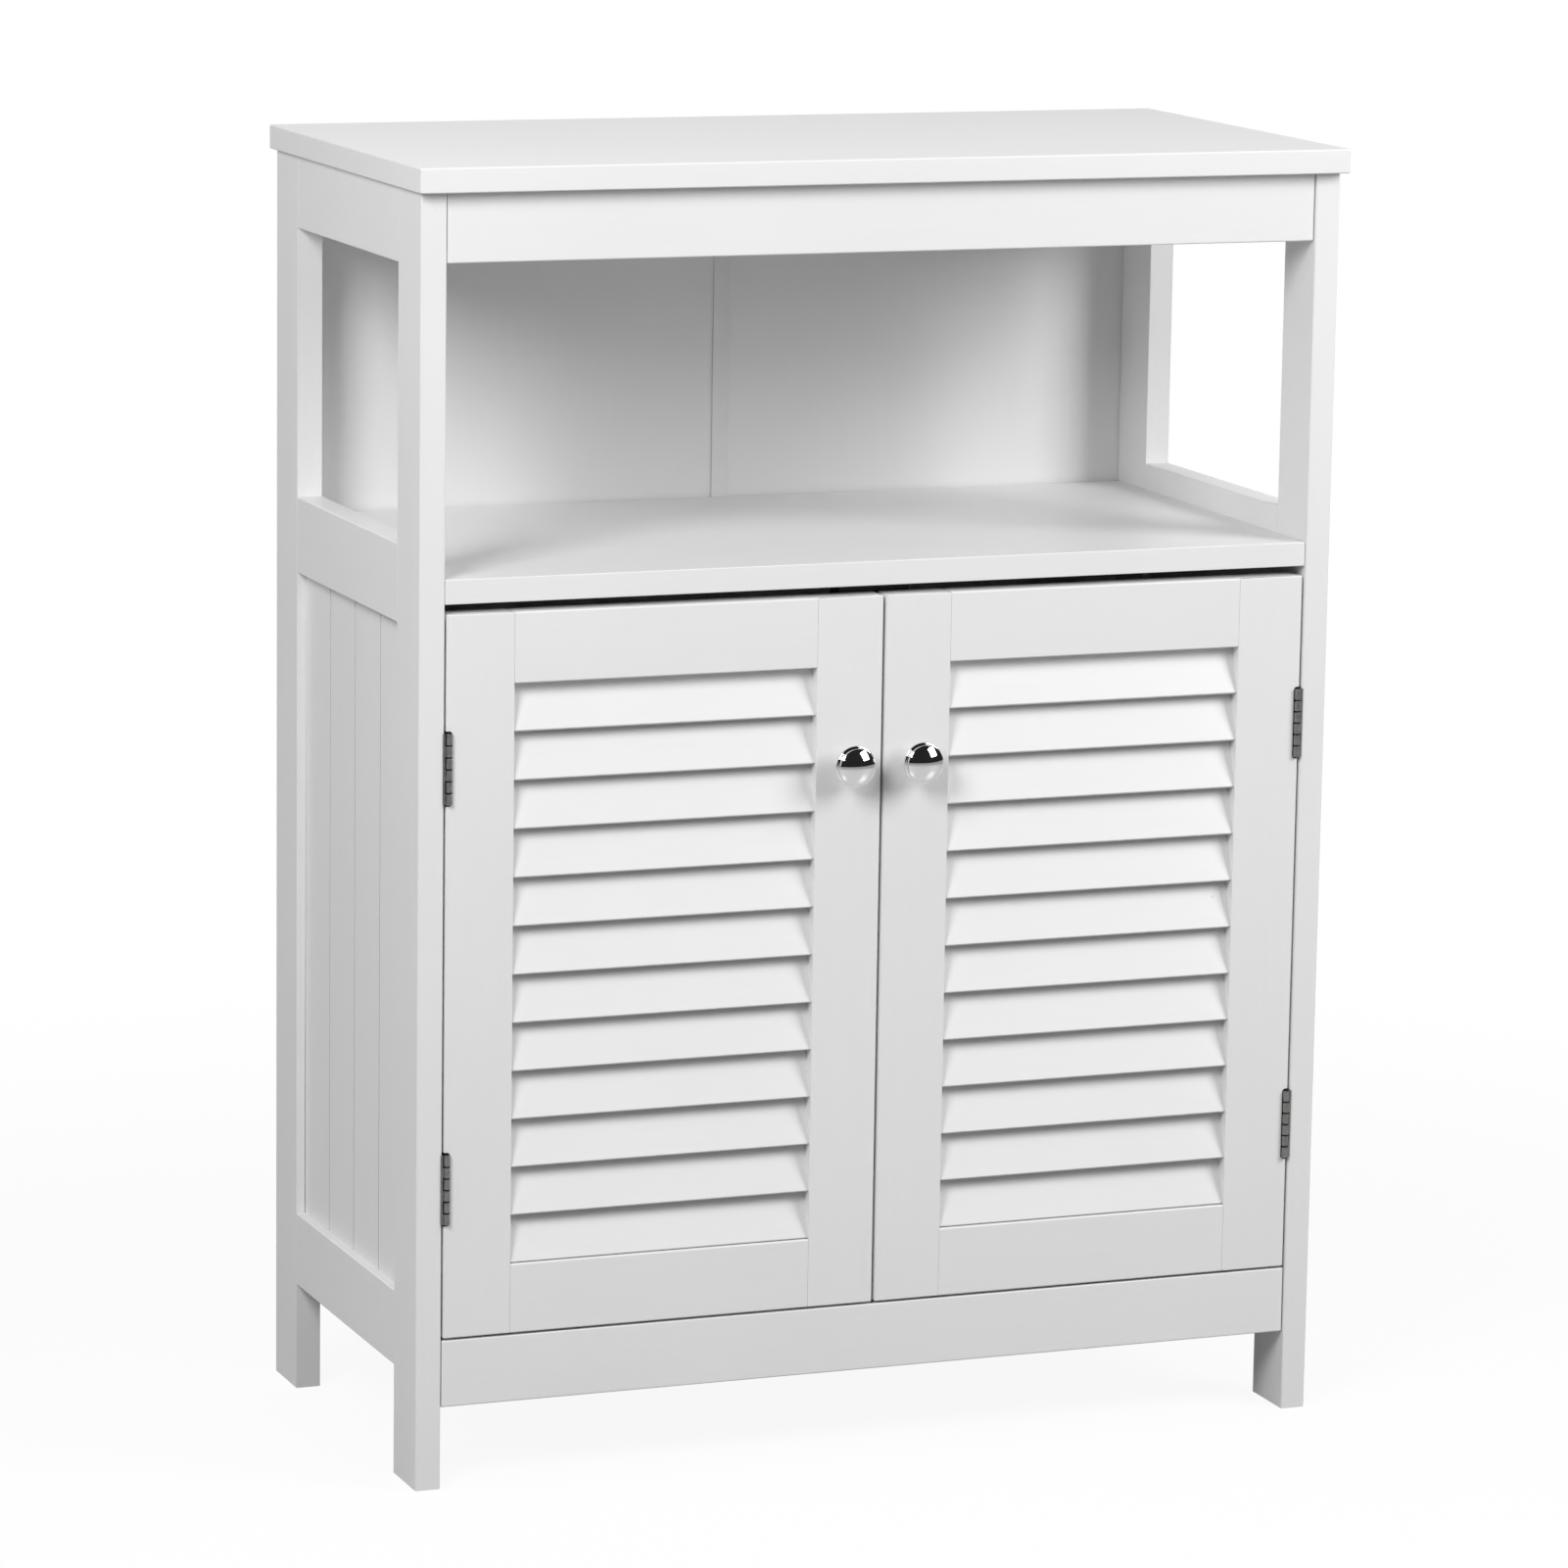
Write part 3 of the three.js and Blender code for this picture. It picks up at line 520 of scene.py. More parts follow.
def board(node, body, grain, crisp=None, cuts=(), soft=EDGE_EASE, ends=END_EASE, shy=0.0):
    """A board with eased edges. Its ends stop a little short of the box where it is shy."""
    axis = AXES[grain]
    low, high = (Vector(corner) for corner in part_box(node))
    low[axis] += shy
    high[axis] -= shy
    mesh = box_mesh(low, high)
    if crisp:
        ease(mesh, [e for e in edges_along(mesh, axis) if crisp(middle(e))], CRISP_EASE, steps=2)
    whole = high[axis] - low[axis] - TINY
    left = [e for e in edges_along(mesh, axis) if e.calc_length() > whole]
    ease(mesh, [e for e in left if e.calc_face_angle() > SQUARE_ANGLE], soft)
    for place in (low[axis], high[axis]):
        ease(mesh, edges_at(mesh, axis, place), ends, steps=2)
    if cuts:
        mesh = combined(mesh, cuts)
    return piece(mesh, node + "_board", body, [node], paint[grain])


board("top_panel", "root", "x", ends=EDGE_EASE)
board("middle_shelf", "root", "x", soft=SHELF_EASE, shy=SHELF_JOINT)
for name, gap in JOINT_LINES.items():
    board(name, "root", "x", shy=gap)
board("bottom_panel", "root", "x", soft=CRISP_EASE)
board("adjustable_shelf", "adjustable_shelf", "x")
print("full-width boards:", len(pieces))

# %% [markdown]
# ## Side frames
#
# Each side is a frame of two legs and three rails. The panel between them sits in a groove that
# is routed all round, so its edges never show and it can swell and shrink. The front legs also
# have mortises for the hinge leaves, and each leg has three holes for shelf pins. Those cuts only
# show when the doors are open, but they are cheap and the piece is true. Such a panel always
# shrinks a little, so a dark line opens between it and the back leg, wider towards the floor.
#
# The two sides mirror each other, so their X values are worked out as distances outwards from
# the middle, and turned into real ones at the last moment.

# %% Side frames
SIDES = {"left": -1, "right": 1}
CUT_CLEARANCE = 0.1 * MM
OVERRUN = 1 * MM  # how far a cutter reaches past what it cuts
PIN_HOLE_PITCH = 32 * MM
PIN_HOLE_RADIUS = 2.65 * MM
LEAF_THICKNESS = 1.2 * MM
LEAF_GAP = 0.4 * MM
UNSHADED_SKIN = 0.05 * MM
SHRINK_GAP = 0.5 * MM
SHRINK_DEPTH = 3 * MM


def corners_of(node):
    """A node's two corners as vectors."""
    low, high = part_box(node)
    return Vector(low), Vector(high)


def middle_of(node):
    low, high = corners_of(node)
    return (low + high) / 2


def outward(side, node):
    """A node's inner and outer distance from the cabinet's middle."""
    low, high = corners_of(node)
    return sorted((SIDES[side] * low.x, SIDES[side] * high.x))


def side_box(side, inner, outer, low, high):
    """A box between two distances from the middle and two corners in Y and Z."""
    x = sorted((SIDES[side] * inner, SIDES[side] * outer))
    return box_mesh((x[0], *low), (x[1], *high))


def leaf_span(side, place, leaf):
    """The inner and outer distance of a hinge leaf's flat plate."""
    outer = outward(side, f"{side}_{place}_hinge_cabinet_leaf")[1]
    if leaf == "door":
        outer -= LEAF_THICKNESS + LEAF_GAP
    return outer - LEAF_THICKNESS, outer


def leaf_mortise(side, place, leaf):
    """A cutter for the recess that a leaf lies in, open towards the gap beside the door."""
    inner, outer = leaf_span(side, place, leaf)
    if leaf == "cabinet":
        inner = outward(side, f"{side}_front_leg")[0] - OVERRUN
        outer += CUT_CLEARANCE
    else:
        inner -= CUT_CLEARANCE
        outer = outward(side, f"{side}_door_hinge_stile")[1] + OVERRUN
    low, high = corners_of(f"{side}_{place}_hinge_{leaf}_leaf")
    by = Vector((CUT_CLEARANCE, CUT_CLEARANCE))
    return side_box(side, inner, outer, low.yz - by, high.yz + by)


def mark_shaded_hollows(made, side, leaf, deep):
    """Marks the faces inside a piece's hinge cuts for painted shade."""
    hollow_shade = made.data.attributes.new("hollow_shade", "FLOAT", "FACE")
    reach = Vector((deep, deep))
    rooms = []
    for place in ("lower", "upper"):
        inner, outer = leaf_span(side, place, leaf)
        low, high = corners_of(f"{side}_{place}_hinge_cabinet_leaf")
        rooms.append((inner - deep, outer + deep, low.yz - reach, high.yz + reach))
    node = made.name.removesuffix("_board")
    edge = outward(side, node)[leaf == "door"]
    face_y = corners_of(node)[0].y
    for face in made.data.polygons:
        out = SIDES[side] * face.center.x
        spot = face.center.yz
        inside = any(
            low_x < out < high_x and all(a < b < c for a, b, c in zip(low, spot, high))
            for low_x, high_x, low, high in rooms
        )
        on_skin = abs(out - edge) < UNSHADED_SKIN or abs(spot.x - face_y) < UNSHADED_SKIN
        hollow_shade.data[face.index].value = 1.0 if inside and not on_skin else 0.0


def pin_holes(side, place):
    """Cutters for the column of three shelf-pin holes in a leg."""
    centre = middle_of(f"{side}_{place}_shelf_pin")
    start = SIDES[side] * (outward(side, f"{side}_{place}_leg")[0] - OVERRUN)
    end = SIDES[side] * (outward(side, f"{side}_{place}_shelf_pin")[1] + CUT_CLEARANCE)
    heights = [centre.z + step * PIN_HOLE_PITCH for step in (-1, 0, 1)]
    return [
        rod_mesh(PIN_HOLE_RADIUS, "x", (start, centre.y, z), (end, centre.y, z)) for z in heights
    ]


def shrink_gap(side):
    """A thin wedge out of the back leg, beside the panel, that closes towards its top."""
    face = outward(side, f"{side}_grooved_panel")[1]
    low, high = corners_of(f"{side}_grooved_panel")
    front = corners_of(f"{side}_back_leg")[0].y
    spot_low, spot_high = (front - OVERRUN, low.z), (front + SHRINK_DEPTH, high.z)
    mesh = side_box(side, face - OVERRUN, face + SHRINK_GAP, spot_low, spot_high)
    upper = [v for v in mesh.verts if v.co.z > high.z - TINY and abs(v.co.x) > face]
    bmesh.ops.translate(mesh, vec=(-SIDES[side] * SHRINK_GAP, 0, 0), verts=upper)
    return mesh


def side_frame(side):
    housing = f"{side}_grooved_panel"
    front_y = corners_of(f"{side}_front_leg")[0].y
    back_y = corners_of(f"{side}_back_leg")[1].y
    mortises = [leaf_mortise(side, place, "cabinet") for place in ("lower", "upper")]
    front = board(
        f"{side}_front_leg",
        "root",
        "z",
        crisp=lambda point: point.y > front_y + MM,
        cuts=[grown(housing, CUT_CLEARANCE), *pin_holes(side, "front"), *mortises],
        ends=EDGE_EASE / 2,
    )
    mark_shaded_hollows(front, side, "cabinet", MM)
    board(
        f"{side}_back_leg",
        "root",
        "z",
        crisp=lambda point: point.y < back_y - MM,
        cuts=[grown(housing, CUT_CLEARANCE), shrink_gap(side), *pin_holes(side, "back")],
        ends=EDGE_EASE / 2,
    )
    board(f"{side}_side_top_rail", "root", "y", shy=CUT_CLEARANCE)
    for place in ("middle", "bottom"):
        rail = f"{side}_side_{place}_rail"
        board(rail, "root", "y", cuts=[grown(housing, CUT_CLEARANCE)], shy=CUT_CLEARANCE)


for side in SIDES:
    side_frame(side)
print("boards so far:", len(pieces))

# %% [markdown]
# ## Grooved side panels
#
# The panels look like narrow boards side by side. On the real ones that is a sheet with thin
# grooves routed into it. A groove could be a line in the bump, but then its shadow would stay
# away in raking light. So it is cut. A V would catch the light on its slope and look like a
# bright line, so the groove has upright walls, and its lips are rounded afterwards. The walls
# and floors of the grooves also get a little painted shade, a share of the near-black brown.

# %% Grooved side panels
GROOVE_PITCH = 50 * MM
GROOVE_WIDTH = 1.6 * MM
GROOVE_DEPTH = 2.2 * MM
GROOVE_LIP = 0.12 * MM
# Share of the near-black brown painted into a groove as its shade.
GROOVE_SHADE = 0.22  # share of bare board that shows through in a groove
END_FACE = 0.5  # the faces of a panel's ends rise more than this, and no wall of a groove does


def groove_bar(face_x, y, low_z, high_z):
    """A cutter for one groove, which runs out at both ends of the panel."""
    reach = Vector((GROOVE_DEPTH, GROOVE_WIDTH / 2))
    centre = Vector((face_x, y))
    low, high = (*(centre - reach), low_z - OVERRUN), (*(centre + reach), high_z + OVERRUN)
    return box_mesh(low, high)


def mark_grooves(made, face_x, places):
    """Marks the walls and floors of the grooves for a little painted shade."""
    hollow_shade = made.data.attributes.new("hollow_shade", "FLOAT", "FACE")
    for face in made.data.polygons:
        near = min(abs(face.center.y - y) for y in places) < GROOVE_WIDTH
        inside = GROOVE_LIP < abs(face.center.x - face_x) < GROOVE_DEPTH + TINY
        thin = near and inside and abs(face.normal.z) < END_FACE
        hollow_shade.data[face.index].value = GROOVE_SHADE if thin else 0.0


def grooved_panel(side):
    node = f"{side}_grooved_panel"
    low, high = corners_of(node)
    face_x = high.x if SIDES[side] > 0 else low.x
    centre_y = (low.y + high.y) / 2
    places = [centre_y + step * GROOVE_PITCH for step in (-1, 0, 1)]
    mesh = combined(box_mesh(low, high), [groove_bar(face_x, y, low.z, high.z) for y in places])
    lips = [
        edge
        for edge in edges_along(mesh, 2)
        if abs(edge.verts[0].co.x - face_x) < TINY
        and min(abs(edge.verts[0].co.y - y) for y in places) < GROOVE_WIDTH
    ]
    ease(mesh, lips, GROOVE_LIP, steps=2)
    made = piece(mesh, node + "_board", "root", [node], paint["z"])
    mark_grooves(made, face_x, places)
    return made


for side in SIDES:
    grooved_panel(side)
print("grooves per panel: 3, every", GROOVE_PITCH / MM, "mm")

# %% [markdown]
# ## Back
#
# The back is two thin sheets, because one sheet of that size is hard to pack. A plastic strip
# with an H section holds their meeting edges, and small panel pins hold the sheets to the legs
# and the boards. The strip is a plain profile that is pushed upwards: a few vertices make one
# half of the H, the others mirror them, and extrude gives it its length.

# %% Back
STRIP_EASE = 0.25 * MM
NAIL_RADIUS = 1.5 * MM
NAIL_HEAD = 0.5 * MM
NAIL_INSET = 8 * MM
NAIL_PITCH = 100 * MM
NAIL_SIDES = 12
ROW_INSET = 24 * MM  # of the rows along the boards, from the sheet's edge and from the leg
STRIP_WEB = 1 * MM  # half of its thickness
STRIP_FLANGE = 1 * MM


def back_sheet(side):
    node = f"back_panel_{side}"
    low, high = corners_of(node)
    mesh = box_mesh(low, high)
    ease(mesh, mesh.edges[:], STRIP_EASE, steps=1)
    return piece(mesh, node + "_board", "root", [node], sheet_paint)


def joining_strip():
    node = "back_joining_strip"
    low, high = corners_of(node)
    front, back = low.y + STRIP_FLANGE, high.y - STRIP_FLANGE
    half = [(high.x, low.y), (high.x, front), (STRIP_WEB, front)]
    half += [(STRIP_WEB, back), (high.x, back), (high.x, high.y)]
    profile = half + [(-x, y) for x, y in reversed(half)]
    mesh = bmesh.new()
    face = mesh.faces.new([mesh.verts.new((x, y, low.z)) for x, y in profile])
    pushed = bmesh.ops.extrude_face_region(mesh, geom=[face])["geom"]
    moved = [v for v in pushed if isinstance(v, bmesh.types.BMVert)]
    bmesh.ops.translate(mesh, vec=(0, 0, high.z - low.z), verts=moved)
    outer = [e for e in edges_along(mesh, 2) if abs(abs(middle(e).x) - high.x) < TINY]
    ease(mesh, outer, STRIP_EASE, steps=2)
    return piece(mesh, node + "_profile", "root", [node], white_plastic)


def steps_between(start, end, pitch):
    count = max(1, round((end - start) / pitch))
    return [start + (end - start) * i / count for i in range(count + 1)]


def merged(meshes):
    """Puts several meshes into one."""
    result = bmesh.new()
    for mesh in meshes:
        data = bpy.data.meshes.new("part")
        mesh.to_mesh(data)
        mesh.free()
        result.from_mesh(data)
        bpy.data.meshes.remove(data)
    return result


def back_nails(side):
    low, high = corners_of(f"back_panel_{side}")
    inner = outward(side, f"back_panel_{side}")[0]
    leg_inner = outward(side, f"{side}_back_leg")[0]
    leg_x = middle_of(f"{side}_back_leg").x
    column = steps_between(low.z + NAIL_INSET, high.z - NAIL_INSET, NAIL_PITCH)
    places = [(leg_x, z) for z in column]
    row = steps_between(inner + ROW_INSET, leg_inner - ROW_INSET, NAIL_PITCH)
    for z in (middle_of("middle_shelf").z, middle_of("bottom_panel").z):
        places += [(SIDES[side] * distance, z) for distance in row]
    heads = []
    for x, z in places:
        root, top = (x, high.y - NAIL_HEAD, z), (x, high.y + NAIL_HEAD, z)
        head = rod_mesh(NAIL_RADIUS, "y", root, top, steps=NAIL_SIDES)
        ease(head, edges_at(head, 1, top[1]), NAIL_HEAD / 2, steps=1)
        heads.append(head)
    return piece(merged(heads), f"back_nails_{side}", "root", [], zinc)


joining_strip()
for side in SIDES:
    back_sheet(side)
    back_nails(side)
print("back made, pieces so far:", len(pieces))

# %% [markdown]
# ## Turned pieces and screws
#
# Knobs, pins and screws are round about an axis, so each is half an outline that is spun. The
# outline is given as radius and height. A cross recess tells a screw from a rivet, so it is cut
# into each head that can be seen.


# %% Turned pieces and screws
RECESS_TAPER = (0.55, 0.8, 1)  # how a cross recess narrows towards its bottom
RECESS_TURN = 20  # degrees
SCREW_LAND = 0.94  # share of a countersunk head's radius, like the next four values
SCREW_NECK = 0.48
SCREW_NECK_DEPTH = 0.55
SCREW_SHANK = 0.42
SCREW_RECESS = (0.62, 0.4, 0.2)  # reach, depth and width of an arm
SCREW_RIM = 0.12  # millimetres


def facing(direction):
    """The turn that brings the Z axis to a direction."""
    return Vector((0, 0, 1)).rotation_difference(Vector(direction)).to_matrix().to_4x4()


def turned_mesh(outline, centre, direction, steps=48):
    """Spins an outline of (radius, height) about an axis that starts at a centre."""
    mesh = bmesh.new()
    verts = [mesh.verts.new((radius, 0, height)) for radius, height in outline]
    edges = [mesh.edges.new(pair) for pair in zip(verts, verts[1:])]
    bmesh.ops.spin(
        mesh,
        geom=[*verts, *edges],
        cent=(0, 0, 0),
        axis=(0, 0, 1),
        dvec=(0, 0, 0),
        angle=2 * math.pi,
        steps=steps,
        use_merge=True,
        use_duplicate=False,
    )
    bmesh.ops.remove_doubles(mesh, verts=mesh.verts, dist=TINY)
    place = Matrix.Translation(centre) @ facing(direction)
    bmesh.ops.transform(mesh, matrix=place, verts=mesh.verts)
    bmesh.ops.recalc_face_normals(mesh, faces=mesh.faces)
    return mesh


def arc(centre, radii, start, end, steps):
    """Points on part of an ellipse, from one angle to another in degrees."""
    angles = [math.radians(start + (end - start) * i / steps) for i in range(steps + 1)]
    across, along = centre
    wide, high = radii
    return [(across + wide * math.cos(a), along + high * math.sin(a)) for a in angles]


def in_mm(points):
    return [(max(radius, 0) * MM, height * MM) for radius, height in points]


def cross_recess(centre, direction, reach, depth, width):
    """A cutter with the shape of a cross, centred on a screw's head."""
    arms = []
    for angle in (RECESS_TURN, RECESS_TURN + 90):
        arm = box_mesh((-reach, -width / 2, -depth), (reach, width / 2, depth))
        ends = [v for v in arm.verts if v.co.z < 0]
        bmesh.ops.scale(arm, vec=RECESS_TAPER, verts=ends)
        turn = Matrix.Rotation(math.radians(angle), 3, "Z")
        bmesh.ops.rotate(arm, matrix=turn, verts=arm.verts)
        arms.append(arm)
    cross = combined(arms[0], arms[1:], "UNION")
    place = Matrix.Translation(centre) @ facing(direction)
    bmesh.ops.transform(cross, matrix=place, verts=cross.verts)
    return cross


def countersunk_screw(centre, direction, radius, length):
    """A screw whose flat head lies at the centre, and whose shank runs against the direction."""
    rim = radius / MM
    outline = [
        (0, 0),
        (rim * SCREW_LAND, 0),
        (rim, -SCREW_RIM),
        (rim * SCREW_NECK, -rim * SCREW_NECK_DEPTH),
        (rim * SCREW_SHANK, -length),
        (0, -length),
    ]
    mesh = turned_mesh(in_mm(outline), centre, direction, steps=24)
    recess = cross_recess(centre, direction, *(radius * share for share in SCREW_RECESS))
    return combined(mesh, [recess])


print("turned pieces ready")

# %% [markdown]
# ## Catch and shelf pins
#
# A magnetic catch sits under the middle shelf. Each door has a small steel plate that meets its
# magnet. They only show when a door is open or through the thin gap above the doors.

# %% Catch and shelf pins
CATCH_EASE = 1.2 * MM
POLE_THICKNESS = 1.6 * MM
POLE_REACH = 1.2 * MM
STRIKE_CORNER = 1.5 * MM
STRIKE_RECESS = (1.5 * MM, 0.7 * MM, 0.5 * MM)  # reach, depth and width of an arm
PEG_RADIUS = 2.5  # millimetres, like the other sizes of a shelf pin's outline
PEG_COLLAR = 1.0
PEG_TIP_EASE = 0.6
PEG_END_EASE = 0.5
PEG_COLLAR_EASE = 0.2
PEG_STAND_OFF = 0.1  # from the collar to the leg


def catch_housing():
    node = "catch_housing"
    low, high = corners_of(node)
    mesh = box_mesh(low, high)
    ease(mesh, [e for e in mesh.edges if middle(e).z < high.z - TINY], CATCH_EASE, steps=4)
    pockets = [grown(f"{side}_catch_magnet", CUT_CLEARANCE) for side in SIDES]
    mesh = combined(mesh, pockets)
    return piece(mesh, node + "_body", "root", [node], dark_plastic)


def catch_magnet(side):
    node = f"{side}_catch_magnet"
    low, high = corners_of(node)
    slot = box_mesh(
        (low.x - OVERRUN, low.y - OVERRUN, low.z + POLE_THICKNESS),
        (high.x + OVERRUN, low.y + POLE_REACH, high.z - POLE_THICKNESS),
    )
    mesh = box_mesh(low, high)
    ease(mesh, mesh.edges[:], CRISP_EASE, steps=1)
    return piece(combined(mesh, [slot]), node + "_poles", "root", [node], zinc)


def rear_centre(node):
    """The middle of a node's rear face."""
    spot = middle_of(node)
    spot.y = corners_of(node)[1].y
    return spot


def strike_plate(side):
    node = f"{side}_strike_plate"
    low, high = corners_of(node)
    mesh = box_mesh(low, high)
    ease(mesh, edges_along(mesh, 1), STRIKE_CORNER, steps=4)
    ease(mesh, edges_at(mesh, 1, high.y), CRISP_EASE, steps=1)
    recess = cross_recess(rear_centre(node), (0, 1, 0), *STRIKE_RECESS)
    body = f"{side}_door"
    return piece(combined(mesh, [recess]), node + "_metal", body, [node], zinc)


def shelf_pin(side, place):
    node = f"{side}_{place}_shelf_pin"
    low, high = corners_of(node)
    collar_radius = (high.z - low.z) / 2 / MM
    inner, outer = outward(side, node)
    leg_face = outward(side, f"{side}_{place}_leg")[0]
    length = (outer - inner) / MM
    collar_end = (leg_face - inner) / MM - PEG_STAND_OFF
    collar_start = collar_end - PEG_COLLAR
    outline = [
        (0, 0),
        *arc((PEG_RADIUS - PEG_TIP_EASE, PEG_TIP_EASE), (PEG_TIP_EASE,) * 2, -90, 0, 4),
        (PEG_RADIUS, collar_start),
        (collar_radius - PEG_COLLAR_EASE, collar_start),
        (collar_radius, collar_start + PEG_COLLAR_EASE),
        (collar_radius, collar_end - PEG_COLLAR_EASE),
        (collar_radius - PEG_COLLAR_EASE, collar_end),
        (PEG_RADIUS, collar_end),
        *arc((PEG_RADIUS - PEG_END_EASE, length - PEG_END_EASE), (PEG_END_EASE,) * 2, 0, 90, 3),
        (0, length),
    ]
    centre = middle_of(node)
    centre.x = SIDES[side] * inner
    mesh = turned_mesh(in_mm(outline), centre, (SIDES[side], 0, 0), steps=32)
    return piece(mesh, node + "_peg", "root", [node], zinc)


catch_housing()
for side in SIDES:
    catch_magnet(side)
    strike_plate(side)
    for place in ("front", "back"):
        shelf_pin(side, place)
print("catch and pins made, pieces so far:", len(pieces))

# %% [markdown]
# ## Louvre slats
#
# Each door has twelve slats, held by slots in the two stiles. A slat leans back at its top, so
# its rounded front edge stands before the next slat down and throws the thin shadow that makes
# a louvre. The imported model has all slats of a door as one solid. Here each one is a board of its
# own: a cube with its two front edges rounded more than its back ones, tilted, and put on its
# step of the ladder. The same shape, a little larger, cuts the slots.

# %% Louvre slats
SLAT_COUNT = 12
SLAT_WIDTH = 32 * MM
SLAT_THICKNESS = 4.5 * MM
SLAT_TILT = math.radians(17)
SLAT_RISE = 0.8 * MM
SLAT_RECESS = 1.2 * MM
SLAT_NOSE = 0.7 * MM
SLAT_BACK_EASE = 0.4 * MM


def trim(mesh, place, way):
    """Takes away what lies past a plane, and returns the edges of the cut."""
    cut = bmesh.ops.bisect_plane(
        mesh,
        geom=[*mesh.verts, *mesh.edges, *mesh.faces],
        plane_co=place,
        plane_no=way,
        clear_outer=True,
    )
    return [e for e in cut["geom_cut"] if isinstance(e, bmesh.types.BMEdge)]


def slat_mesh(side, index, grow=0.0):
    """One slat of a door, or a cutter for its slots when it is grown."""
    pack_low, pack_high = corners_of(f"{side}_louvre_pack")
    bottom = corners_of(f"{side}_door_bottom_rail")[1].z
    top = corners_of(f"{side}_door_top_rail")[0].z
    face = corners_of(f"{side}_door_hinge_stile")[0].y
    pitch = (top - bottom) / SLAT_COUNT
    mesh = box_mesh(
        (pack_low.x - grow, -grow, -grow),
        (pack_high.x + grow, SLAT_THICKNESS + grow, SLAT_WIDTH + grow),
    )
    nose = [e for e in edges_along(mesh, 0) if middle(e).z < TINY]
    ease(mesh, nose, SLAT_NOSE, steps=6)
    if not grow:
        rear = [e for e in edges_along(mesh, 0) if middle(e).z > SLAT_WIDTH - TINY]
        ease(mesh, rear, SLAT_BACK_EASE)
    place = Matrix.Translation((0, face + SLAT_RECESS, bottom + index * pitch + SLAT_RISE))
    turn = Matrix.Rotation(-SLAT_TILT, 4, "X")
    bmesh.ops.transform(mesh, matrix=place @ turn, verts=mesh.verts)
    for level, out in ((top - CUT_CLEARANCE + grow, 1), (bottom + CUT_CLEARANCE - grow, -1)):
        rim = trim(mesh, (0, 0, level), (0, 0, out))
        if rim:
            bmesh.ops.holes_fill(mesh, edges=rim)
    return mesh


for side in SIDES:
    for index in range(SLAT_COUNT):
        name = f"{side}_slat_{index + 1:02d}"
        nodes = [f"{side}_louvre_pack"]
        piece(slat_mesh(side, index), name, f"{side}_door", nodes, slat_paint)
print("slats:", 2 * SLAT_COUNT)

# %% [markdown]
# ## Door frames
#
# A door's frame has two stiles that run its full height and two rails between them. The inner
# edges of the stiles stay nearly square, so the joints with the rails close to a hairline. The
# hinge stile has a small routed notch at each hinge that lets the knuckles in.

# %% Door frames
NOTCH_WIDTH = 3.8 * MM
NOTCH_DEPTH = 4 * MM
NOTCH_END_GAP = 1.2 * MM
NOTCH_CORNER = 2 * MM
SCREW_HOLE_RADIUS = 2.2 * MM


def hinge_notch(side, place):
    stile_low = corners_of(f"{side}_door_hinge_stile")[0]
    outer = outward(side, f"{side}_door_hinge_stile")[1]
    low, high = corners_of(f"{side}_{place}_hinge_cabinet_leaf")
    mesh = side_box(
        side,
        outer - NOTCH_WIDTH,
        outer + NOTCH_WIDTH,
        (stile_low.y - NOTCH_DEPTH, low.z - NOTCH_END_GAP),
        (stile_low.y + NOTCH_DEPTH, high.z + NOTCH_END_GAP),
    )
    inner_edges = [e for e in edges_along(mesh, 1) if abs(middle(e).x) < outer]
    ease(mesh, inner_edges, NOTCH_CORNER, steps=5)
    return mesh


def slat_slots(side):
    """One cutter for all the slots of a stile."""
    return merged(slat_mesh(side, index, CUT_CLEARANCE) for index in range(SLAT_COUNT))


def door_frame(side):
    body = f"{side}_door"
    stile = f"{side}_door_hinge_stile"
    inner = outward(side, stile)[0]
    places = ("lower", "upper")
    hinged = board(
        stile,
        body,
        "z",
        crisp=lambda point: abs(point.x) < inner + MM,
        cuts=[
            slat_slots(side),
            *(hinge_notch(side, place) for place in places),
            *(leaf_mortise(side, place, "door") for place in places),
        ],
        ends=EDGE_EASE,
    )
    mark_shaded_hollows(hinged, side, "door", NOTCH_WIDTH)
    stile = f"{side}_door_meeting_stile"
    outer = outward(side, stile)[1]
    knob_x, _, knob_z = middle_of(f"{side}_knob")
    front, back = corners_of(stile)[0].y - OVERRUN, corners_of(stile)[1].y + OVERRUN
    hole = rod_mesh(SCREW_HOLE_RADIUS, "y", (knob_x, front, knob_z), (knob_x, back, knob_z))
    board(
        stile,
        body,
        "z",
        crisp=lambda point: abs(point.x) > outer - MM,
        cuts=[slat_slots(side), hole],
        ends=EDGE_EASE,
    )
    for place in ("top", "bottom"):
        board(f"{side}_door_{place}_rail", body, "x")


for side in SIDES:
    door_frame(side)
print("door frames made, pieces so far:", len(pieces))

# %% [markdown]
# ## Knobs
#
# A knob has a small foot against the door, a short neck and a wide head. A bead runs round the
# head, and a flat dome stands on its face. The dome is a small part of a large ball: were it half
# a ball, its edge would mirror the door and look white, and here it mirrors the dark room right
# up to the edge. A pan-head screw holds the knob from the inside of the door.

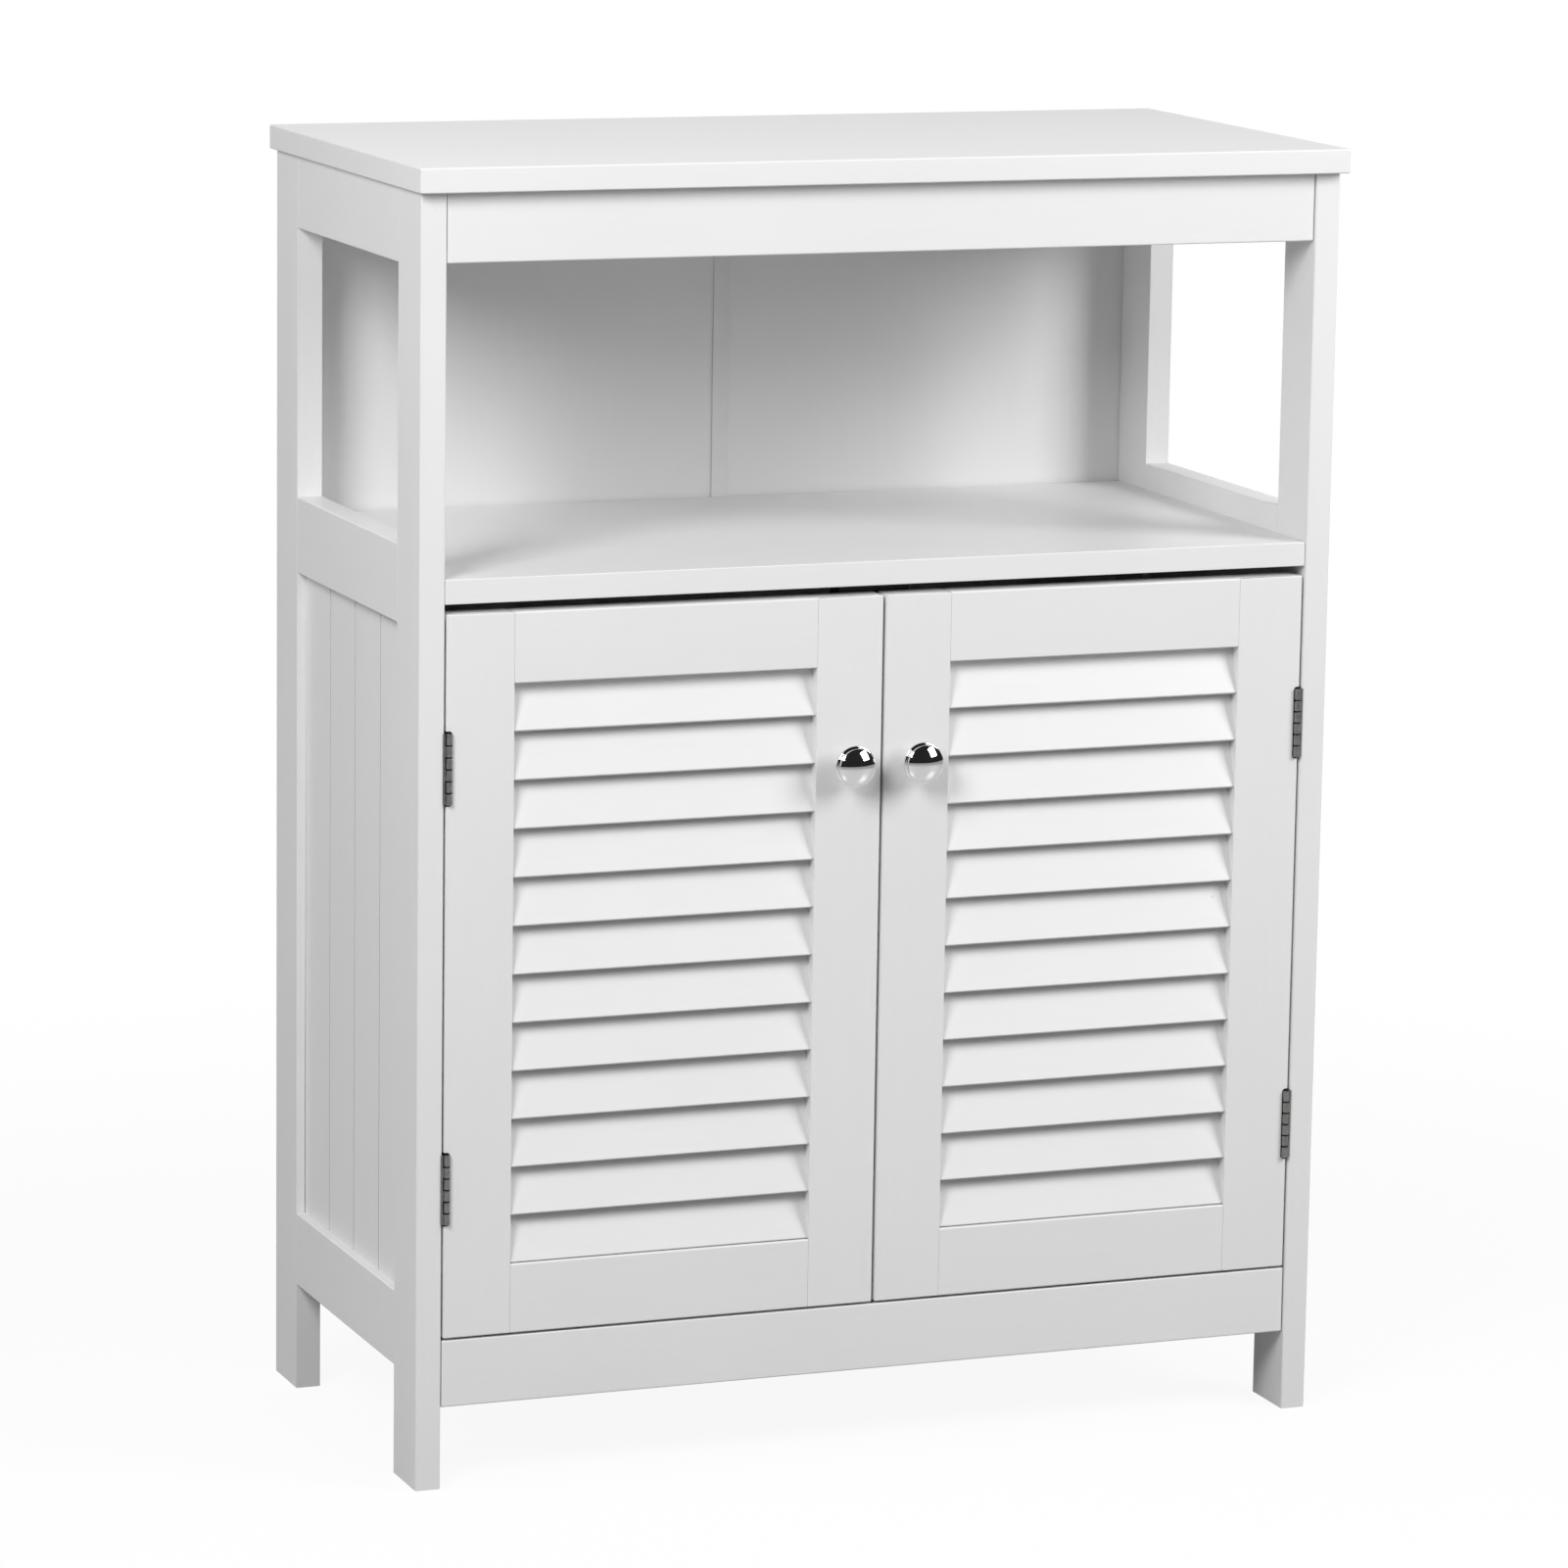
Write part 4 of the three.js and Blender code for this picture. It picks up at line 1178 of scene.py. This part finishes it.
# %% Knobs
HEAD_RADIUS = 4.2  # millimetres, like the other sizes of the screw's outline
HEAD_HEIGHT = 2.4
HEAD_EASE = 1.8
HEAD_DROP = 1.6
SHANK_RADIUS = 2.0
SHANK_POINT = 0.6
SHANK_TAPER = 0.5
HEAD_RECESS = (2.2 * MM, 1.5 * MM, 0.8 * MM)  # reach, depth and width of an arm
KNOB_TOP = 19.4  # millimetres from the foot, like the other sizes of the knob's outline
KNOB_FACE_RADIUS = 11.6
KNOB_FACE_EASE = 0.6
BALL_RADIUS = 18.8
EASE_OUT = KNOB_FACE_RADIUS - KNOB_FACE_EASE
EASE_UP = math.sqrt((BALL_RADIUS - KNOB_FACE_EASE) ** 2 - EASE_OUT**2)
BALL_START = math.degrees(math.atan2(EASE_UP, EASE_OUT))
BALL_HEIGHT = KNOB_TOP - BALL_RADIUS
KNOB_OUTLINE = [
    (0, 0),
    (6.7, 0),
    (7.0, 0.3),
    (7.0, 1.1),
    (6.7, 1.5),
    *arc((6.7, 3.2), (1.7, 1.7), 270, 180, 6),
    (5.0, 4.6),
    *arc((7.0, 4.6), (2.0, 2.2), 180, 90, 6),
    (11.2, 9.9),
    *arc((11.6, 11.2), (1.3, 1.3), -80, 90, 14),
    (KNOB_FACE_RADIUS, BALL_HEIGHT + EASE_UP),
    *arc((EASE_OUT, BALL_HEIGHT + EASE_UP), (KNOB_FACE_EASE, KNOB_FACE_EASE), 5, BALL_START, 4),
    *arc((0, BALL_HEIGHT), (BALL_RADIUS, BALL_RADIUS), BALL_START, 90, 18),
]


def knob(side):
    node = f"{side}_knob"
    mesh = turned_mesh(in_mm(KNOB_OUTLINE), rear_centre(node), (0, -1, 0), steps=72)
    return piece(mesh, node + "_turned", f"{side}_door", [node], chrome)


def knob_screw(side):
    node = f"{side}_knob_screw"
    low, high = corners_of(node)
    centre = rear_centre(node)
    end = (low.y - high.y) / MM
    outline = [
        (0, 0),
        *arc((HEAD_RADIUS - HEAD_EASE, -HEAD_DROP), (HEAD_EASE, HEAD_DROP), 90, 0, 6),
        (HEAD_RADIUS, -HEAD_HEIGHT),
        (SHANK_RADIUS, -HEAD_HEIGHT),
        (SHANK_RADIUS, end + SHANK_POINT),
        (SHANK_RADIUS - SHANK_TAPER, end),
        (0, end),
    ]
    mesh = turned_mesh(in_mm(outline), centre, (0, 1, 0), steps=32)
    recess = cross_recess(centre, (0, 1, 0), *HEAD_RECESS)
    body = f"{side}_door"
    return piece(combined(mesh, [recess]), node + "_steel", body, [node], zinc)


for side in SIDES:
    knob(side)
    knob_screw(side)
print("knob width:", round(2 * max(radius for radius, height in KNOB_OUTLINE), 1), "mm")

# %% [markdown]
# ## Hinges
#
# Each butt hinge has two leaves whose edges are rolled into six knuckles, three of them on each
# leaf, on one pin. The fine dark lines between the knuckles are real gaps, and the pin seen in
# them is painted nearly black as their shade. The leaves lie hidden between door and leg while
# the doors are closed, and show three screws each when they open.

# %% Hinges
KNUCKLE_COUNT = 6
KNUCKLE_RADIUS = 2.0 * MM
KNUCKLE_GAP = 0.9 * MM
KNUCKLE_EASE = 0.3 * MM
BORE_RADIUS = 1.1 * MM
PIN_RADIUS = 0.9  # millimetres, like the other sizes of the pin's outline
PIN_HEAD_RADIUS = 1.45
PIN_HEAD_HEIGHT = 0.5
PIN_HEAD_EDGE = 0.05
LEAF_RELIEF = 0.4 * MM
LEAF_CORNER = 0.8 * MM
LEAF_EDGE = 0.12 * MM
LEAF_SCREW_RADIUS = 2.6 * MM
LEAF_SCREW_INSET = 7.5 * MM
LEAF_SCREW_LINE = 5.6 * MM  # from the leaf's back edge
LEAF_SCREW_STAGGER = 1.4 * MM
LEAF_SCREW_SUNK = 0.1 * MM
LEAF_SCREW_LENGTH = 11.0  # millimetres, as countersunk_screw takes it
SKIN = 0.02 * MM


def leaf_screw_places(side, place, leaf):
    """Where the three screws of a leaf sit, and the way that their heads face."""
    inner, outer = leaf_span(side, place, leaf)
    low, high = corners_of(f"{side}_{place}_hinge_{leaf}_leaf")
    x = SIDES[side] * (inner if leaf == "cabinet" else outer)
    way = Vector((-SIDES[side] if leaf == "cabinet" else SIDES[side], 0, 0))
    y = high.y - LEAF_SCREW_LINE
    heights = (low.z + LEAF_SCREW_INSET, (low.z + high.z) / 2, high.z - LEAF_SCREW_INSET)
    return [
        (Vector((x, y + LEAF_SCREW_STAGGER * (-1) ** i, z)), way)
        for i, z in enumerate(heights)
    ]


def hinge_leaf(side, place, leaf):
    node = f"{side}_{place}_hinge_{leaf}_leaf"
    body = "root" if leaf == "cabinet" else f"{side}_door"
    low, high = corners_of(node)
    pin = middle_of(f"{side}_{place}_hinge_pin")
    pin_x = SIDES[side] * pin.x
    inner, outer = leaf_span(side, place, leaf)
    clear = KNUCKLE_RADIUS + LEAF_RELIEF
    offset = inner - pin_x
    reach = math.sqrt(max(0, clear * clear - offset * offset))
    plate_y = pin.y + reach
    tab_y = pin.y + max(LEAF_THICKNESS, reach + LEAF_RELIEF / 2)
    plate = side_box(side, inner, outer, (plate_y, low.z), (high.y, high.z))
    rear = [e for e in edges_along(plate, 0) if middle(e).y > high.y - TINY]
    ease(plate, rear, LEAF_CORNER)
    seen_x = SIDES[side] * (inner if leaf == "cabinet" else outer)
    ease(plate, edges_at(plate, 0, seen_x), LEAF_EDGE, steps=1)
    parts = []
    pitch = (high.z - low.z) / KNUCKLE_COUNT
    tab_inner = pin_x + KNUCKLE_RADIUS / 2 if leaf == "cabinet" else inner
    for i in range(0 if leaf == "cabinet" else 1, KNUCKLE_COUNT, 2):
        bottom = low.z + i * pitch + (KNUCKLE_GAP / 2 if i else 0)
        top = low.z + (i + 1) * pitch - (KNUCKLE_GAP / 2 if i < KNUCKLE_COUNT - 1 else 0)
        knuckle = rod_mesh(KNUCKLE_RADIUS, "z", (pin.x, pin.y, bottom), (pin.x, pin.y, top))
        for level in (bottom, top):
            ease(knuckle, edges_at(knuckle, 2, level), KNUCKLE_EASE, steps=2)
        tab = side_box(side, tab_inner, outer, (pin.y, bottom), (tab_y, top))
        parts += [knuckle, tab]
    mesh = combined(plate, parts, "UNION")
    bore_ends = (pin.x, pin.y, low.z - OVERRUN), (pin.x, pin.y, high.z + OVERRUN)
    cutters = [rod_mesh(BORE_RADIUS, "z", *bore_ends)]
    wide, narrow = LEAF_SCREW_RADIUS + CUT_CLEARANCE, LEAF_SCREW_RADIUS / 3
    screws = []
    for centre, way in leaf_screw_places(side, place, leaf):
        face = centre + way * SKIN
        back = centre - way * LEAF_THICKNESS * 1.5
        if way.x > 0:
            cutters.append(rod_mesh(narrow, "x", back, face, end_radius=wide))
        else:
            cutters.append(rod_mesh(wide, "x", face, back, end_radius=narrow))
        sunk = centre - way * LEAF_SCREW_SUNK
        screws.append(countersunk_screw(sunk, way, LEAF_SCREW_RADIUS, LEAF_SCREW_LENGTH))
    mesh = combined(mesh, cutters)
    piece(mesh, node + "_metal", body, [node], nickel)
    piece(merged(screws), node + "_screws", body, [], nickel)


def hinge_pin(side, place):
    node = f"{side}_{place}_hinge_pin"
    low, high = corners_of(node)
    length = (high.z - low.z) / MM
    head = PIN_HEAD_HEIGHT - PIN_HEAD_EDGE
    outline = [
        (0, 0),
        *arc((0, head), (PIN_HEAD_RADIUS, head), -70, 0, 5),
        (PIN_RADIUS, PIN_HEAD_HEIGHT),
        (PIN_RADIUS, length - PIN_HEAD_HEIGHT),
        *arc((0, length - head), (PIN_HEAD_RADIUS, head), 0, 70, 5),
        (0, length),
    ]
    centre = middle_of(node)
    centre.z = low.z
    mesh = turned_mesh(in_mm(outline), centre, (0, 0, 1), steps=32)
    # The pin's near-black metal is painted shade for the gaps between the knuckles.
    return piece(mesh, node + "_steel", "root", [node], pin_steel_painted_dark)


for side in SIDES:
    for place in ("lower", "upper"):
        hinge_pin(side, place)
        for leaf in ("cabinet", "door"):
            hinge_leaf(side, place, leaf)
print("pieces:", len(pieces))

# %% [markdown]
# ## Floor, surroundings and light
#
# The picture has a white ground. More light would make the ground white, but it would bleach the
# cabinet too. So the floor is mid grey for the light that bounces off it, a lighter grey for
# mirrors, and white only for the camera. Round the cabinet a little of its real shading is mixed
# in, so that the shadow stays.
#
# Two soft lamps stand at the front, one on each side, as for a product picture. Where they stand
# was read from the bright spots on the knobs: a round mirror shows each lamp where its surface
# faces halfway between the lamp and the camera. Weak broad ones light the left side, the top
# and the back. The knobs in the picture show nothing of them, so mirrors here don't see them.
# Polished metal needs something dark to mirror as well, so half a dark dome stands in front of
# the cabinet, and only reflections see it. Behind the cabinet the room is white, and the shelf
# and the top mirror that softly at their flat angle.

# %% Floor and surroundings
FLOOR_HALF = 40.0  # metres
FLOOR_BOUNCE = 0.34
FLOOR_SHADED = 0.9
SHOWN_GLOW = 0.92  # share of plain white in what the camera sees of the floor
SHADOW_REACH = (0.5, 1.4)  # metres: from here to there the rest fades to plain white
MIRRORED_GLOW = 0.6  # share of a plain grey in what mirrors see of it
MIRRORED_SHADE = 0.5
SHEEN_SHARE = 0.06  # the floor is a little glossy, so mirrors see the lamps in it too
SHEEN_ROUGHNESS = 0.3
DOME_RADIUS = 7.0
DOME_FLOOR = 0.05
DOME_BACK = 0.4
DOME_SHADE = 0.02


def ray_kind(finish, *kinds):
    """1 for rays of some kinds, and 0 for all others."""
    path = finish.node("ShaderNodeLightPath")
    rays = [Flow(finish, path.outputs[f"Is {kind} Ray"]) for kind in kinds]
    found = rays[0]
    for ray in rays[1:]:
        found = found.math("MAXIMUM", found, ray)
    return found


def surface_mix(finish, factor, first, second):
    return finish.flow("ShaderNodeMixShader", None, {0: factor, 1: first, 2: second})


def matt(finish, shade):
    return finish.flow("ShaderNodeBsdfDiffuse", None, {"Color": (shade, shade, shade, 1)})


def glow(finish, shade):
    inputs = {"Color": (shade, shade, shade, 1), "Strength": 1.0}
    return finish.flow("ShaderNodeEmission", None, inputs)


def floor_finish():
    finish = Finish("floor")
    shaded = matt(finish, FLOOR_SHADED)
    away = finish.flow(
        "ShaderNodeVectorMath", {"operation": "LENGTH"}, {0: finish.places()}, output="Value"
    )
    white_share = finish.spread(away, SHADOW_REACH, (SHOWN_GLOW, 1.0), "SMOOTHSTEP")
    shown = surface_mix(finish, white_share, shaded, glow(finish, 1.0))
    mirrored = surface_mix(finish, MIRRORED_GLOW, shaded, glow(finish, MIRRORED_SHADE))
    sheen = {"Color": (1, 1, 1, 1), "Roughness": SHEEN_ROUGHNESS}
    polish = finish.flow("ShaderNodeBsdfAnisotropic", None, sheen)
    mirrored = surface_mix(finish, SHEEN_SHARE, mirrored, polish)
    rest = surface_mix(finish, ray_kind(finish, "Glossy"), matt(finish, FLOOR_BOUNCE), mirrored)
    direct = ray_kind(finish, "Camera", "Transmission")
    output = finish.tree.nodes["Material Output"]
    finish.put(output.inputs["Surface"], surface_mix(finish, direct, rest, shown))
    return finish.material


def dome_finish():
    finish = Finish("dark_dome")
    output = finish.tree.nodes["Material Output"]
    finish.put(output.inputs["Surface"], glow(finish, DOME_SHADE))
    return finish.material


def stage_piece(mesh, name, material):
    data = bpy.data.meshes.new(name)
    mesh.to_mesh(data)
    mesh.free()
    data.materials.append(material)
    made = bpy.data.objects.new(name, data)
    bpy.context.scene.collection.objects.link(made)
    return made


def add_floor():
    mesh = bmesh.new()
    bmesh.ops.create_grid(mesh, x_segments=2, y_segments=2, size=FLOOR_HALF)
    return stage_piece(mesh, "floor", floor_finish())


def add_dome():
    mesh = bmesh.new()
    bmesh.ops.create_icosphere(mesh, subdivisions=4, radius=DOME_RADIUS)
    trim(mesh, (0, 0, DOME_FLOOR), (0, 0, -1))
    trim(mesh, (0, DOME_BACK, 0), (0, 1, 0))
    bmesh.ops.reverse_faces(mesh, faces=mesh.faces)
    dome = stage_piece(mesh, "dark_dome", dome_finish())
    for ray in ("camera", "diffuse", "transmission", "shadow"):
        setattr(dome, f"visible_{ray}", False)
    return dome


class Room(Finish):
    """The world round the cabinet, made of nodes like a finish."""

    def __init__(self, **constants):
        world = bpy.data.worlds.new("room")
        world.use_nodes = True
        bpy.context.scene.world = world
        self.start(world.node_tree, "Background", constants)


def add_world(level):
    """White for the camera, for mirrors and through glass, and only a weak light otherwise."""
    room = Room(Color=(1, 1, 1, 1))
    seen = ray_kind(room, "Camera", "Glossy", "Transmission")
    room.set(Strength=room.spread(seen, (0.0, 1.0), (level, 1.0)))


WORLD_LEVEL = 0.15
add_floor()
add_dome()
add_world(WORLD_LEVEL)
print("floor and surroundings made")

# %% Lamps
LAMP_AIM = Vector((0, 0, 0.45))
LAMPS = {
    "left_lamp": {"way": (-47, 31), "distance": 2.2, "size": (0.65, 0.9), "power": 28.4},
    "right_lamp": {"way": (47, 28), "distance": 2.2, "size": (0.95, 1.1), "power": 31.6},
    "side_lamp": {"way": (-90, 25), "distance": 2.4, "size": (1.6, 1.6), "power": 8.3},
    "top_lamp": {"way": (0, 86), "distance": 1.7, "size": (1.6, 1.6), "power": 3.2},
    "back_lamp": {"way": (180, 20), "distance": 2.4, "size": (1.6, 1.6), "power": 8},
}
MIRRORED_LAMPS = ("left_lamp", "right_lamp")


def add_lamp(name, way, distance, size, power):
    """A soft lamp that looks at the cabinet, seen from there at an azimuth and an elevation."""
    data = bpy.data.lights.new(name, "AREA")
    data.shape = "RECTANGLE"
    data.size, data.size_y = size
    data.energy = power
    azimuth, elevation = (math.radians(angle) for angle in way)
    turn = camera_axes(azimuth, elevation, 0).to_4x4()
    lamp = bpy.data.objects.new(name, data)
    lamp.matrix_world = Matrix.Translation(LAMP_AIM + turn.col[2].xyz * distance) @ turn
    lamp.visible_glossy = name in MIRRORED_LAMPS
    lamp.visible_camera = False
    bpy.context.scene.collection.objects.link(lamp)
    return lamp


for name, lamp in LAMPS.items():
    add_lamp(name, **lamp)
bpy.context.scene.view_settings.view_transform = "Standard"
print("lamps:", ", ".join(LAMPS))

# %% [markdown]
# ## Size and finish
#
# The dressed cabinet has to fit the imported one. Here the scene is brought up to date.

# %% Size and finish
bpy.context.view_layer.update()
